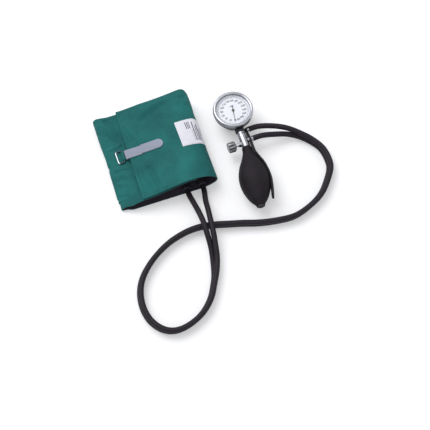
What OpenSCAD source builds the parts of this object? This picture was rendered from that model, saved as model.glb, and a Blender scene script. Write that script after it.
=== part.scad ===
// Aneroid blood-pressure gauge with bulb, valve, twin hoses and a rolled child cuff.
// Millimetres, +Z up. The origin is the middle of the footprint of cuff and gauge head,
// on the surface that they lie on. The dial faces up and the bulb points to -Y.

/* [Cuff] */
// Width of the rolled cuff, from fold to fold
cuff_w = 117; // [100:1:150]
// Length of the cuff along the arm
cuff_len = 119; // [90:1:150]
// Height of the flap's crown above the table
crown_h = 30; // [27:0.5:36]
// How far the crown lies from the right fold
crown_back = 26.5; // [22:0.5:32]
// Height of the flap's free edge
edge_h = 19.2; // [19:0.1:21]
// How far the flap's free edge lies from the left fold
flap_inset = 24.5; // [22:0.5:30]
// Height of the left fold, and of the flat cloth beside it
left_fold_h = 15; // [13.5:0.5:16]
// Height of the line that the flap turns about, at the right fold
hinge_h = 12; // [10:0.5:14]
// How far the bottom cloth rises into the right fold
heel_w = 14; // [10:0.5:18]
// Thickness of the green outer cloth
cloth_t = 1; // [0.8:0.1:1.2]
// Thickness of the dark lining
lining_t = 0.8; // [0.6:0.1:1]
// Corner radius of the flap at its far right corner
flap_corner_r = 5; // [3:0.5:8]
// Gap between one soft layer and the next
layer_gap = 0.3; // [0.2:0.05:0.4]

/* [Bladder] */
// Thickness of the flat bladder
bladder_t = 2.6; // [2:0.1:3]
// Width of the bladder
bladder_w = 76; // [60:1:84]
// Margin between the bladder and the cuff's two open ends
bladder_margin = 10; // [8:1:20]
// Outside diameter of a bladder port
port_od = 9; // [8:0.5:10]
// Length of a bladder port
port_len = 9; // [6:0.5:9.5]
// Place of the bulb hose's port across the cuff, from the right fold
port_bulb_in = 38.5; // [36:0.5:44]
// Distance between the two ports
port_pitch = 18.5; // [14:0.5:22]

/* [Strap, ring and label] */
// Width of the grey strap
strap_w = 11; // [9:0.5:16]
// Length of the strap from the flap's edge to its round end
strap_len = 46; // [35:1:60]
// Thickness of the strap
strap_t = 1.2; // [0.8:0.1:1.5]
// Height of the strap's middle line along the cuff, from the cuff's near end
strap_y = 62; // [50:1:72]
// How far the strap is tucked under the flap's edge
strap_tuck = 12; // [8:1:16]
// Outer length of the steel ring along the cuff
ring_len = 17; // [15.5:0.5:22]
// Outer width of the steel ring
ring_w = 9.4; // [8:0.2:11]
// Wire diameter of the steel ring
ring_wire = 1.7; // [1.2:0.1:2]
// Thickness of the cloth keeper that holds the ring
keeper_t = 0.7; // [0.5:0.1:0.9]
// Width of the keeper
keeper_w = 11; // [8:0.5:12]
// Size of the label round the cuff
label_w = 34; // [24:1:40]
// Size of the label along the cuff
label_len = 34; // [24:1:40]
// Height of the label's middle along the cuff, from the cuff's near end
label_y = 63; // [50:1:80]
// Thickness of the label
label_t = 0.4; // [0.3:0.1:0.6]
// Thickness of the hook and loop pads
pad_t = 0.6; // [0.4:0.1:0.8]

/* [Gauge] */
// Outside diameter of the bezel
bezel_d = 48; // [44:0.5:52]
// Height of the bezel's top above the table
gauge_h = 31; // [29:0.5:34]
// Height of the bezel ring
bezel_h = 6.5; // [5.5:0.1:8]
// Width of the bezel's polished ring seen from above
bezel_lip = 3.7; // [3:0.1:4.5]
// Diameter of the case's flat back
case_back_d = 26; // [24:0.5:28]
// Wall of the case's tapered part
case_wall = 1.7; // [1.4:0.1:2]
// Thickness of the lens
lens_t = 1.6; // [1.2:0.1:2]
// Thickness of the dial plate
dial_t = 0.6; // [0.4:0.1:0.8]
// Angle between the zero mark and the line to the bulb
zero_deg = 9; // [6:1:15]
// Angle that the pointer turns from zero to full scale
scale_deg = 342; // [300:1:345]
// Length of the pointer's blade
pointer_len = 15.5; // [12:0.5:17]
// Length of the pointer's tail
pointer_tail = 7; // [4:0.5:9]

/* [Movement] */
// Module of the sector and the pinion
gear_module = 0.3; // [0.28:0.01:0.32]
// Teeth of the pinion
pinion_teeth = 10; // [10:1:10]
// Teeth that the whole circle of the sector would have
sector_teeth = 80; // [76:2:84]
// Thickness of a movement plate
plate_t = 1; // [0.8:0.1:1.2]
// Diameter of a movement plate
plate_d = 30; // [29:0.5:31]
// Diameter of the aneroid capsule
capsule_d = 18; // [15:0.5:18.5]
// Radius of the arbors
arbor_r = 0.6; // [0.5:0.05:0.7]
// Length of the rocker's lever on the capsule's pin
rocker_lever = 1.5; // [1.4:0.05:1.6]
// Length of the rocker's arm on the sector's pin
rocker_arm = 4.3; // [4:0.1:4.4]
// Running clearance round each shaft
run_gap = 0.05; // [0.03:0.01:0.08]

/* [Valve head] */
// Diameter of the chrome neck
neck_d = 10; // [9:0.5:12]
// Length of the chrome neck
neck_len = 20.5; // [18:0.5:26]
// Length of the spigot inside the bulb
spigot_len = 11; // [9:0.5:14]
// How far the case's collar reaches beyond the bezel
collar_out = 2.6; // [0.2:0.1:3.4]
// Outside diameter of the case's collar
collar_d = 11.5; // [10.5:0.5:12.5]
// Distance from the top of the neck to the bulb hose's nipple
nipple_s = 11.5; // [9:0.5:12.5]
// Distance from the collar's end to the gauge hose's nipple
gauge_nipple_in = 2.5; // [2.5:0.05:2.7]
// How far the gauge hose's nipple lies under the neck's axis
gauge_nipple_drop = 3; // [2.5:0.1:3.5]
// Diameter of a nipple's flange
flange_d = 6; // [5.5:0.1:6.4]
// Thickness of a nipple's flange
flange_t = 3.2; // [1.5:0.1:3.5]
// Length of a nipple's barbed tail
barb_len = 11; // [8:0.5:14]
// Bore radius of a nipple
nipple_bore_r = 1.1; // [0.8:0.1:1.3]
// Distance from the top of the neck to the thumb knob's axis
knob_s = 14.6; // [13.8:0.1:15.2]
// Diameter of the thumb knob
knob_d = 13; // [9:0.5:14]
// Length of the thumb knob
knob_len = 9.7; // [6:0.5:11]
// Distance from the neck's axis to the thumb knob
knob_reach = 11.5; // [11.5:0.1:14]
// Flutes round the thumb knob
knob_flutes = 9; // [6:1:14]
// Thread pitch of the valve spindle
thread_pitch = 0.7; // [0.5:0.05:0.8]

/* [Bulb and finger plate] */
// Greatest diameter of the bulb, which lies on the table
bulb_d = 36; // [34:0.5:40]
// Length of the bulb
bulb_len = 77; // [70:1:90]
// Wall of the bulb
bulb_wall = 2.2; // [1.8:0.1:2.8]
// Angle by which the rubber bulb bends away from the neck
bulb_bend = 7.6; // [5:0.1:9]
// Distance from the neck's axis to the finger plate
plate_off = 6.5; // [6.4:0.1:7]
// Thickness of the finger plate
finger_t = 1.4; // [1:0.1:1.8]
// Length of the finger plate along the bulb
finger_len = 70; // [60:1:74]
// Greatest width of the finger plate
finger_w = 15; // [12:0.5:18]
// Gap between the finger plate and the bulb
finger_gap = 0.6; // [0.6:0.1:1.2]

/* [Placing and hoses] */
// Gap between the cuff's right fold and the bezel
side_gap = 19.5; // [17:0.5:30]
// How far the cuff's far edge lies beyond the gauge's middle
cuff_ahead = 46.6; // [44:0.5:55]
// Outside diameter of a hose
hose_d = 6.5; // [6.2:0.1:6.6]
// Sides of a hose's tube
hose_sides = 10; // [8:1:12]

/* [Hidden] */
$fn = 64;
eps = 0.01;

// Plan layout: the footprint of cuff and gauge head is centred on the origin
total_w = cuff_w + side_gap + bezel_d;
cuff_l = -total_w / 2;
cuff_r = cuff_l + cuff_w;
head_x = total_w / 2 - bezel_d / 2;
axis_h = bulb_d / 2;
washer_t = 0.6;
collar_reach = bezel_d / 2 + collar_out;
gauge_nipple_reach = collar_reach - gauge_nipple_in;
head_len = collar_reach + washer_t + neck_len + (bulb_len + 1.6) * cos(bulb_bend) + 4.4 * sin(bulb_bend);
total_l = head_len + cuff_ahead;
gauge_y = total_l / 2 - cuff_ahead;
cuff_y1 = total_l / 2;
cuff_y0 = cuff_y1 - cuff_len;
collar_y = gauge_y - collar_reach;
neck_y = collar_y - washer_t;
bulb_y = neck_y - neck_len;

// Curves as lists of points in the cuff's section, x across and z up
function arc_points(c, rx, rz, a0, a1, n) =
    [for (i = [0:n]) let (a = a0 + (a1 - a0) * i / n) [c[0] + rx * cos(a), c[1] + rz * sin(a)]];
function tangent(p, i) =
    let (a = p[max(i - 1, 0)], b = p[min(i + 1, len(p) - 1)]) (b - a) / norm(b - a);
// A path moved to the right of its direction of travel by d, a number or one number a point
function moved(p, d) =
    [for (i = [0:len(p) - 1]) let (t = tangent(p, i), k = is_num(d) ? d : d[i])
        p[i] + k * [t[1], -t[0]]];
function reversed(p) = [for (i = [len(p) - 1:-1:0]) p[i]];
// The closed strip between two offsets of one path
function band(p, d0, d1) = concat(moved(p, d0), reversed(moved(p, d1)));
function ease(t) = (1 - cos(180 * min(max(t, 0), 1))) / 2;

// Rounded curve through hand-chosen points, n steps from each point to the next
function curve_at(a, b, c, d, t) =
    0.5 * (2 * b + (c - a) * t + (2 * a - 5 * b + 4 * c - d) * t * t + (3 * b - a - 3 * c + d) * t * t * t);
function rounded(p, n) = concat(
    [for (i = [0:len(p) - 2], j = [0:n - 1])
        curve_at(p[max(i - 1, 0)], p[i], p[i + 1], p[min(i + 2, len(p) - 1)], j / n)],
    [p[len(p) - 1]]);

// A skin over rings of n points each, every ring turning to the right about the way on
module skin(rings) {
    n = len(rings[0]);
    last = (len(rings) - 1) * n;
    polyhedron(
        points = [for (r = rings) each r],
        faces = concat(
            [[for (i = [0:n - 1]) i]],
            [for (k = [0:len(rings) - 2], i = [0:n - 1]) let (a = k * n, b = a + n, j = (i + 1) % n)
                each [[a + i, b + i, b + j], [a + i, b + j, a + j]]],
            [[for (i = [n - 1:-1:0]) last + i]]),
        convexity = 6);
}

// A tube of radius r along a path that is nowhere quite upright
module swept(path, r, sides) {
    step = 360 / sides;
    skin([for (k = [0:len(path) - 1])
        let (t = tangent(path, k), level = cross([0, 0, 1], t), side = level / norm(level))
        let (up = cross(t, side))
        [for (i = [0:sides - 1]) path[k] + r * (cos(step * i) * side + sin(step * i) * up)]]);
}

// Flap: an eased rise from its free edge to the crown, then a quarter ellipse to the hinge line
flap_t = cloth_t + lining_t + 0.05;
flap_l = cuff_l + flap_inset;
crown_x = cuff_r - crown_back;
hinge_split = 0.6;
flap_end_z = hinge_h + hinge_split / 2;
function flap_z(x) = edge_h + (crown_h - edge_h) * ease((x - flap_l) / (crown_x - flap_l));
function flap_stretch(x0, x1, n) = [for (i = [0:n]) let (x = x0 + (x1 - x0) * i / n) [x, flap_z(x)]];
function flap_fold(a0, a1, n) =
    arc_points([crown_x, flap_end_z], crown_back, crown_h - flap_end_z, a0, a1, n);
flap_path = concat(flap_stretch(flap_l, crown_x, 16), flap_fold(85, 0, 14));

// Base cloth: right heel, flat bottom, left fold and the inner layer under the flap
heel_top_z = hinge_h - hinge_split / 2;
base_heel = arc_points([cuff_r - heel_w, heel_top_z], heel_w, heel_top_z, 0, -90, 10);
left_r = left_fold_h / 2;
bladder_x1 = cuff_r - heel_w - 3;
bladder_x0 = bladder_x1 - bladder_w;
base_bottom = [[bladder_x1, 0], [bladder_x0 - 1, 0], [bladder_x0 - 7, 0]];
base_left = arc_points([cuff_l + left_r, left_r], left_r, left_r, -90, -270, 14);
inner_start = flap_l + 5;
inner_end_h = crown_h - flap_t - layer_gap;
inner_w = crown_x - inner_start;
function inner_z(x) = left_fold_h + (inner_end_h - left_fold_h) * ease((x - inner_start) / inner_w);
base_top = [for (i = [0:16]) let (x = inner_start + inner_w * i / 16) [x, inner_z(x)]];
base_path = concat(base_heel, base_bottom, base_left, base_top);
// The lining lies on the cloth, and over the bladder along the bottom
lining_low = cloth_t + 2 * layer_gap + bladder_t;
lining_high = cloth_t + 0.05;
lining_offsets = concat(
    [for (i = [0:10]) lining_high + (lining_low - lining_high) * i / 10],
    [lining_low, lining_low, lining_high],
    [for (i = [1:len(base_left) + len(base_top)]) lining_high]);

// Bladder ports: they lie on the outer cloth and point out of the cuff's near end
port_z = cloth_t + layer_gap + port_od / 2;
port_x1 = cuff_r - port_bulb_in;
port_x2 = port_x1 + port_pitch;
port_y = cuff_y0 + bladder_margin - port_len;
port_hose_len = port_len - 2;

// Strap: tucked under the flap's edge, folded over it and laid on the flap
strap_mid_y = cuff_y0 + strap_y;
strap_gap = 0.15;
strap_top = strap_gap + strap_t;
strap_turn_x = flap_l + 0.6;
strap_turn_z = flap_z(flap_l) - flap_t / 2;
fold_room = 0.9;
fold_split = 0.5;
fold_high = strap_turn_z + fold_split / 2;
fold_low = strap_turn_z - fold_split / 2;
strap_tip_x = flap_l - fold_room - strap_t;
strap_fold = arc_points([strap_turn_x, fold_high], strap_turn_x - strap_tip_x,
    flap_z(strap_turn_x) + strap_top - fold_high, 180, 96, 8);
strap_end_x = strap_tip_x + strap_len;
strap_path = concat(strap_fold,
    moved(flap_stretch(strap_turn_x + 0.4, strap_end_x, 14), -strap_top));

// Ring: its right bar turns inside the keeper, beside the folded strap
keeper_gap = 0.1;
ring_r = ring_wire / 2;
keeper_r = ring_r + keeper_gap + keeper_t;
ring_x = strap_tip_x - 0.4 - keeper_r;
ring_z = left_fold_h + 0.1 + keeper_r;
ring_arm = ring_w - ring_wire;
ring_corner = 2;
ring_lie = asin((ring_z - left_fold_h - ring_r - 0.1) / ring_arm);

// Everything of the cuff is drawn in the section and extruded along the arm
module along_cuff(y0, y1) {
    translate([0, y1, 0])
        rotate([90, 0, 0])
            linear_extrude(y1 - y0)
                children();
}

// The far right corner of the cuff is round in plan
module far_corner_cut() {
    difference() {
        translate([cuff_r - flap_corner_r, cuff_y1 - flap_corner_r, -1])
            cube([flap_corner_r + 1, flap_corner_r + 1, gauge_h + 9]);
        translate([cuff_r - flap_corner_r, cuff_y1 - flap_corner_r, -2])
            cylinder(r = flap_corner_r, h = gauge_h + 11);
    }
}

module layer(path, d0, d1) {
    difference() {
        along_cuff(cuff_y0, cuff_y1)
            polygon(band(path, d0, d1));
        far_corner_cut();
    }
}

module cuff_base() {
    color("#2c6e6a")
        layer(base_path, 0, cloth_t);
}

// The lining is cut back where the ports and hoses come out
module base_lining() {
    lo = lining_offsets;
    hi = [for (d = lining_offsets) d + lining_t];
    color("#1f2230")
        difference() {
            layer(base_path, lo, hi);
            translate([port_x1 - port_od / 2 - layer_gap, cuff_y0 - 1, cloth_t + layer_gap / 2])
                cube([port_pitch + port_od + 2 * layer_gap, bladder_margin + 2, port_od + 2]);
        }
}

module cuff_flap() {
    color("#2c6e6a")
        layer(flap_path, 0, cloth_t);
}

module flap_lining() {
    color("#1f2230")
        layer(flap_path, cloth_t + 0.05, flap_t);
}

module port(x) {
    translate([x, cuff_y0 + bladder_margin + 6, port_z])
        rotate([90, 0, 0])
            cylinder(d = port_od, h = port_len + 6);
}

module bladder() {
    color("#22242a")
        difference() {
            union() {
                translate([bladder_x0, cuff_y0 + bladder_margin, cloth_t + layer_gap])
                    cube([bladder_w, cuff_len - 2 * bladder_margin, bladder_t]);
                intersection() {
                    union() {
                        port(port_x1);
                        port(port_x2);
                    }
                    translate([bladder_x0, cuff_y0, cloth_t + layer_gap])
                        cube([bladder_w, bladder_margin, port_od + 1]);
                }
            }
            for (x = [port_x1, port_x2])
                translate([x, port_y - 1, port_z])
                    rotate([-90, 0, 0])
                        cylinder(d = hose_d, h = port_hose_len + 1);
        }
}

// Hook-and-loop pads hold the flap shut beyond the strap's tuck
pad_x0 = flap_l + 2 + strap_tuck;
pad_len = 16;
loop_len = 28;
module hook_pad() {
    color("#3a7f7a")
        along_cuff(cuff_y0 + 8, cuff_y1 - 8)
            polygon(band(flap_stretch(pad_x0, pad_x0 + pad_len, 6), flap_t + 0.05, flap_t + 0.05 + pad_t));
}

module loop_pad() {
    path = [for (i = [0:10]) let (x = pad_x0 + loop_len * i / 10) [x, inner_z(x)]];
    color("#3a7f7a")
        along_cuff(cuff_y0 + 8, cuff_y1 - 8)
            polygon(band(path, -0.05, -0.05 - pad_t));
}

module strap() {
    color("#9ba0b2")
        intersection() {
            along_cuff(strap_mid_y - strap_w / 2, strap_mid_y + strap_w / 2)
                polygon(band(strap_path, 0, strap_t));
            union() {
                translate([strap_tip_x - 1, strap_mid_y - strap_w, 0])
                    cube([strap_len + 1 - strap_w / 2, 2 * strap_w, gauge_h + 9]);
                translate([strap_end_x - strap_w / 2, strap_mid_y, 0])
                    cylinder(d = strap_w, h = gauge_h + 9);
            }
        }
}

// The strap's sewn end: the lower half of its fold and the tuck under the flap
tuck_drop = flap_t + strap_gap;
tuck_fold = arc_points([strap_turn_x, fold_low], strap_turn_x - strap_tip_x,
    fold_low - (flap_z(strap_turn_x) - tuck_drop - strap_t), 264, 180, 8);
module strap_tuck_end() {
    path = concat(
        reversed(moved(flap_stretch(strap_turn_x + 0.4, flap_l + strap_tuck, 6), tuck_drop + strap_t)),
        tuck_fold);
    color("#9ba0b2")
        along_cuff(strap_mid_y - strap_w / 2, strap_mid_y + strap_w / 2)
            polygon(band(path, 0, strap_t));
}

module wire(length) {
    cylinder(r = ring_r, h = length);
}

// Rectangular ring in its own plane: the turning bar lies on the y axis, the rest at -x
module ring_shape() {
    long = ring_len - ring_wire - 2 * ring_corner;
    short = ring_arm - 2 * ring_corner;
    for (x = [0, -ring_arm])
        translate([x, long / 2, 0])
            rotate([90, 0, 0])
                wire(long);
    for (side = [-1, 1])
        translate([-ring_corner, side * (long / 2 + ring_corner), 0])
            rotate([0, -90, 0])
                wire(short);
    for (corner = [[-ring_corner, long / 2, 0], [-ring_arm + ring_corner, long / 2, 90],
                   [-ring_arm + ring_corner, -long / 2, 180], [-ring_corner, -long / 2, 270]])
        translate([corner[0], corner[1], 0])
            rotate([0, 0, corner[2]])
                rotate_extrude(angle = 90)
                    translate([ring_corner, 0])
                        circle(r = ring_r);
}

module steel_ring() {
    color("#c9ced2")
        translate([ring_x, strap_mid_y, ring_z])
            rotate([0, -ring_lie, 0])
                ring_shape();
}

// Cloth loop round the ring's right bar, with a tail sewn under the flap's edge
module ring_keeper() {
    tail_z = left_fold_h + 0.05;
    color("#2c6e6a")
        along_cuff(strap_mid_y - keeper_w / 2, strap_mid_y + keeper_w / 2)
            difference() {
                union() {
                    translate([ring_x, ring_z])
                        circle(r = keeper_r);
                    translate([ring_x, tail_z])
                        square([inner_start - ring_x, keeper_t]);
                }
                translate([ring_x, ring_z])
                    circle(r = ring_r + keeper_gap);
            }
}

// The label follows the flap over the right fold, its length measured along the curve
fold_x = crown_back;
fold_z = crown_h - flap_end_z;
fold_arc = 90 * PI / 180 * sqrt((fold_x * fold_x + fold_z * fold_z) / 2);
module cuff_label() {
    label_end = max(90 - 90 * (label_w - 1) / fold_arc, 2);
    y0 = cuff_y0 + label_y - label_len / 2;
    path = concat([[crown_x - 1, crown_h]], flap_fold(90, label_end, 12));
    color("#e6e8ec")
        along_cuff(y0, y0 + label_len)
            polygon(band(path, -0.05, -0.05 - label_t));
}

// Gauge, in its own frame: the pointer's axis is z, the bulb lies towards -y
module at_gauge() {
    translate([head_x, gauge_y, 0])
        children();
}

bezel_r = bezel_d / 2;
bezel_z = gauge_h - bezel_h;
flange_r = bezel_r - 1.1;
flange_z = bezel_z + 1.1;
seat_r = flange_r - 1.6;
ledge_z = flange_z - dial_t - 0.05;
bore_r = seat_r - 1.1;
back_r = case_back_d / 2;
shoulder_z = bezel_z - 4.6;
floor_t = 1.8;
post_r = 2;
post_pos = [[9.5, -9.5], [-9.5, 9.5]];
post_bore_r = 0.85;
screw_len = 5;
screw_head = 1;
stem_r = 2.4;
stem_bore_r = 1;
nipple_r = 1.8;
nipple_in = 3;
boss_r = 2.4;
boss_x = plate_off - 0.1;
gauge_nipple_y = gauge_y - gauge_nipple_reach;
gauge_nipple_z = axis_h - gauge_nipple_drop;

module case_outline() {
    polygon(concat(
        [[0, 0], [back_r - 0.8, 0]],
        arc_points([back_r - 0.8, 1], 1, 1, -75, -25, 4),
        [[flange_r - 0.5, shoulder_z], [flange_r, shoulder_z + 1], [flange_r, flange_z], [0, flange_z]]));
}

hollow_floor_r = back_r - case_wall + 0.5;
hollow_top_z = shoulder_z + 0.8;
module case_hollow() {
    polygon([[0, floor_t], [hollow_floor_r, floor_t], [bore_r, hollow_top_z],
        [bore_r, ledge_z], [seat_r, ledge_z], [seat_r, flange_z + 1], [0, flange_z + 1]]);
}

// Tapered cup with the collar that the neck screws to, two posts for the movement inside
module gauge_case() {
    color("#26262b")
        difference() {
            union() {
                difference() {
                    union() {
                        at_gauge()
                            rotate_extrude()
                                case_outline();
                        translate([head_x, collar_y, axis_h])
                            rotate([-90, 0, 0])
                                cylinder(d = collar_d, h = collar_reach - 15);
                        translate([head_x, gauge_nipple_y, gauge_nipple_z])
                            rotate([0, 90, 0])
                                cylinder(r = boss_r, h = boss_x);
                    }
                    at_gauge()
                        rotate_extrude()
                            case_hollow();
                }
                at_gauge()
                    for (p = post_pos)
                        intersection() {
                            translate([p[0], p[1], 0])
                                cylinder(r = post_r, h = plate_low);
                            rotate_extrude()
                                case_outline();
                        }
            }
            translate([head_x, collar_y - 1, axis_h])
                rotate([-90, 0, 0])
                    cylinder(r = stem_r, h = collar_reach - 13);
            translate([head_x + nipple_in, gauge_nipple_y, gauge_nipple_z])
                rotate([0, 90, 0])
                    cylinder(r = nipple_r, h = collar_d);
            translate([head_x, gauge_nipple_y, gauge_nipple_z])
                rotate([0, 90, 0])
                    cylinder(r = nipple_bore_r, h = collar_d);
            at_gauge()
                for (p = post_pos)
                    translate([p[0], p[1], plate_low - screw_len - 1])
                        cylinder(r = post_bore_r, h = screw_len + 2);
        }
}

// Polished ring that screws over the case's flange and holds the lens down
lip_r = bezel_r - bezel_lip;
lens_r = seat_r - 0.5;
lip_z = gauge_h - 1.5;
module bezel() {
    wall_r = seat_r - 0.3;
    color("#d4d6da")
        at_gauge()
            rotate_extrude()
                polygon(concat(
                    [[flange_r + run_gap, bezel_z], [bezel_r - 0.4, bezel_z], [bezel_r, bezel_z + 0.4]],
                    arc_points([bezel_r - 2.2, gauge_h - 2.4], 2.2, 2.4, 0, 90, 8),
                    [[lip_r + 0.4, gauge_h - 0.5], [lip_r, gauge_h - 1], [lip_r, lip_z],
                     [wall_r, lip_z], [wall_r, flange_z + 0.05], [flange_r + run_gap, flange_z + 0.05]]));
}

module ring_of(r_in, r_out, z0, z1) {
    translate([0, 0, z0])
        difference() {
            cylinder(r = r_out, h = z1 - z0);
            translate([0, 0, -1])
                cylinder(r = r_in, h = z1 - z0 + 2);
        }
}

dial_ring_h = 1.4;
dial_ring_z = flange_z + dial_ring_h;
lens_z = lip_z - lens_t - 0.05;
module lens() {
    color([0.85, 0.92, 0.95, 0.35])
        at_gauge()
            translate([0, 0, lens_z])
                cylinder(r = lens_r, h = lens_t);
}

module lens_gasket() {
    color("#3a3a3e")
        at_gauge()
            ring_of(lip_r - 0.2, lens_r, dial_ring_z + 0.05, lens_z - 0.05);
}

module dial_ring() {
    color("#dcdce6")
        at_gauge()
            ring_of(lip_r - 0.4, lens_r, flange_z + 0.05, dial_ring_z);
}

module dial_plate() {
    color("#eceaf4")
        at_gauge()
            ring_of(1.6, seat_r - 0.1, ledge_z + 0.02, ledge_z + 0.02 + dial_t);
}

// Movement: two plates on pillars, with the sector beyond the pinion as seen from the bulb
plate_low = 12.6;
pillar_z = plate_low + plate_t;
plate_high = 21.4;
pinion_r = gear_module * pinion_teeth / 2;
sector_r = gear_module * sector_teeth / 2;
arbor_y = pinion_r + sector_r;
sector_swing = scale_deg * pinion_teeth / sector_teeth;
gear_z = 15.2;
gear_t = 1;
pillar_pos = [[13, -2.5], [-13, -2.5], [0, -10.5]];
pillar_r = 1.2;
rocker_x = -1.5;
rocker_z = 10.6;
rocker_r = 0.6;
rocker_arm_y = arbor_y - 3.6;
capsule_x = rocker_x - rocker_lever;

module bore_at(p, r, z) {
    translate([p[0], p[1], z - 1])
        cylinder(r = r, h = plate_t + 2);
}

module movement_rear_plate() {
    color("#c2a04e")
        at_gauge()
            difference() {
                union() {
                    translate([0, 0, plate_low])
                        cylinder(d = plate_d, h = plate_t);
                    for (y = [-4.2, rocker_arm_y + 1.4])
                        translate([rocker_x - 1.3, y, rocker_z - 1])
                            cube([2.6, 1.2, plate_low - rocker_z + 1 + plate_t / 2]);
                }
                for (p = [[0, 0], [0, arbor_y]])
                    bore_at(p, arbor_r + run_gap, plate_low);
                for (p = post_pos)
                    bore_at(p, post_bore_r, plate_low);
                translate([rocker_x, -6, rocker_z])
                    rotate([-90, 0, 0])
                        cylinder(r = rocker_r + run_gap, h = 24);
                translate([rocker_x - 2.2, rocker_arm_y - 0.9, plate_low - 1])
                    cube([4.4, 1.8, plate_t + 2]);
                translate([-1.6, -plate_d / 2 - 1, plate_low - 1])
                    cube([3.2, 3, plate_t + 2]);
            }
}

module movement_front_plate() {
    color("#c2a04e")
        at_gauge()
            difference() {
                translate([0, 0, plate_high])
                    cylinder(d = plate_d, h = plate_t);
                for (p = [[0, 0], [0, arbor_y]])
                    bore_at(p, arbor_r + run_gap, plate_high);
                for (p = [[-7.5, 0], [6, -8.5]])
                    bore_at(p, 2.4, plate_high);
            }
}

module movement_pillars() {
    color("#b8963f")
        at_gauge()
            for (p = pillar_pos)
                translate([p[0], p[1], pillar_z])
                    cylinder(r = pillar_r, h = plate_high - pillar_z);
}

module movement_screws() {
    color("#b9bcc2")
        at_gauge()
            for (p = post_pos)
                translate([p[0], p[1], 0]) {
                    translate([0, 0, pillar_z])
                        cylinder(r = 1.5, h = screw_head);
                    translate([0, 0, plate_low - screw_len])
                        cylinder(r = post_bore_r - run_gap, h = plate_t + screw_len + screw_head / 2);
                }
}

// One straight-flanked tooth on a wheel of pitch radius r
module tooth(r) {
    pitch = PI * gear_module;
    polygon([[r - 1.2 * gear_module, -0.3 * pitch], [r + 0.85 * gear_module, -0.11 * pitch],
        [r + 0.85 * gear_module, 0.11 * pitch], [r - 1.2 * gear_module, 0.3 * pitch]]);
}

module pinion() {
    color("#c9a850")
        at_gauge() {
            translate([0, 0, gear_z - 0.4])
                linear_extrude(gear_t + 0.8)
                    union() {
                        circle(r = pinion_r - 1.05 * gear_module);
                        for (i = [0:pinion_teeth - 1])
                            rotate(90 + 360 / pinion_teeth * (i + 0.5))
                                tooth(pinion_r);
                    }
            translate([0, 0, plate_low + 0.2])
                cylinder(r = arbor_r, h = dial_top + 1.1 - plate_low - 0.2);
        }
}

// Toothed sector with its arbor and the pin that the rocker's arm pushes. At rest a
// tooth stands on the line between the arbors, in a gap of the pinion.
sector_half = sector_swing / 2 + 7;
sector_step = 360 / sector_teeth;
tooth_phase = sector_swing / 2 / sector_step - floor(sector_swing / 2 / sector_step);
sector_pin_r = 3.77;
sector_pin_off = 7.5;
pin_r = 0.4;
module sector_gear() {
    root_r = sector_r - 1.05 * gear_module;
    color("#c9a850")
        at_gauge()
            translate([0, arbor_y, 0]) {
                translate([0, 0, plate_low + 0.2])
                    cylinder(r = arbor_r, h = plate_high + plate_t - plate_low - 0.4);
                rotate([0, 0, -90 - sector_swing / 2]) {
                    translate([0, 0, gear_z])
                        linear_extrude(gear_t)
                            union() {
                                circle(r = 1.8);
                                difference() {
                                    intersection() {
                                        circle(r = root_r);
                                        polygon([[0, 0], 16 * [cos(sector_half), -sin(sector_half)], [16, 0],
                                            16 * [cos(sector_half), sin(sector_half)]]);
                                    }
                                    translate([7, 0])
                                        circle(r = 1.6);
                                }
                                for (i = [-8:8])
                                    if (abs(sector_step * (i + tooth_phase)) < sector_half - 1.5)
                                        rotate(sector_step * (i + tooth_phase))
                                            tooth(sector_r);
                            }
                    rotate([0, 0, -sector_pin_off])
                        translate([sector_pin_r, 0, gear_z - 1.2])
                            cylinder(r = pin_r, h = 1.4);
                }
            }
}

// Rocker: a shaft under the rear plate that turns the capsule's lift into a side push
capsule_lift = 1;
rocker_half = asin(capsule_lift / 2 / rocker_lever);
module rocker_shaft() {
    color("#b9bcc2")
        at_gauge()
            translate([rocker_x, 0, rocker_z])
                rotate([0, -rocker_half, 0])
                    union() {
                        translate([0, -4.6, 0])
                            rotate([-90, 0, 0])
                                cylinder(r = rocker_r, h = rocker_arm_y + 7.4);
                        translate([-rocker_lever, 0, 0])
                            rotate([0, 90, 0])
                                cylinder(r = pin_r, h = rocker_lever);
                        translate([0, rocker_arm_y, 0])
                            cylinder(r = pin_r, h = rocker_arm);
                    }
}

// Aneroid capsule on a pressure inlet in the case's floor
capsule_z = 3.8;
capsule_h = 4.8;
capsule_top_z = capsule_z + capsule_h;
module capsule() {
    r = capsule_d / 2;
    mid = capsule_z + capsule_h / 2;
    wave = [[0, 0], [2, 0], [3, 0.6], [4.5, 0], [6, 0.6]];
    color("#c8b070")
        at_gauge()
            translate([capsule_x, 0, 0])
                difference() {
                    union() {
                        rotate_extrude()
                            polygon(concat(
                                [for (p = wave) [p[0], capsule_z + p[1]]],
                                [[r - 1, capsule_z + 0.4], [r, mid - 0.3], [r, mid + 0.3]],
                                [[r - 1, capsule_top_z - 0.4]],
                                [for (p = reversed(wave)) [p[0], capsule_top_z - p[1]]]));
                        translate([0, 0, floor_t])
                            cylinder(r = 1.5, h = capsule_z - floor_t + 0.2);
                        translate([0, 0, capsule_top_z - 0.2])
                            cylinder(r = 1.4, h = 0.6);
                    }
                    translate([0, 0, capsule_z + 1.2])
                        cylinder(r = r - 1.6, h = capsule_h - 2.4);
                    translate([0, 0, floor_t - 1])
                        cylinder(r = 0.6, h = capsule_z);
                }
}

capsule_pin_z = capsule_top_z + 0.45;
capsule_pin_top = rocker_z - capsule_lift / 2 - pin_r - 0.2;
capsule_foot_r = rocker_lever - rocker_r - 0.1;
module capsule_pin() {
    color("#b9bcc2")
        at_gauge()
            translate([capsule_x, 0, capsule_pin_z]) {
                cylinder(r = capsule_foot_r, h = 0.2);
                cylinder(r = pin_r, h = capsule_pin_top - capsule_pin_z);
            }
}

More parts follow.
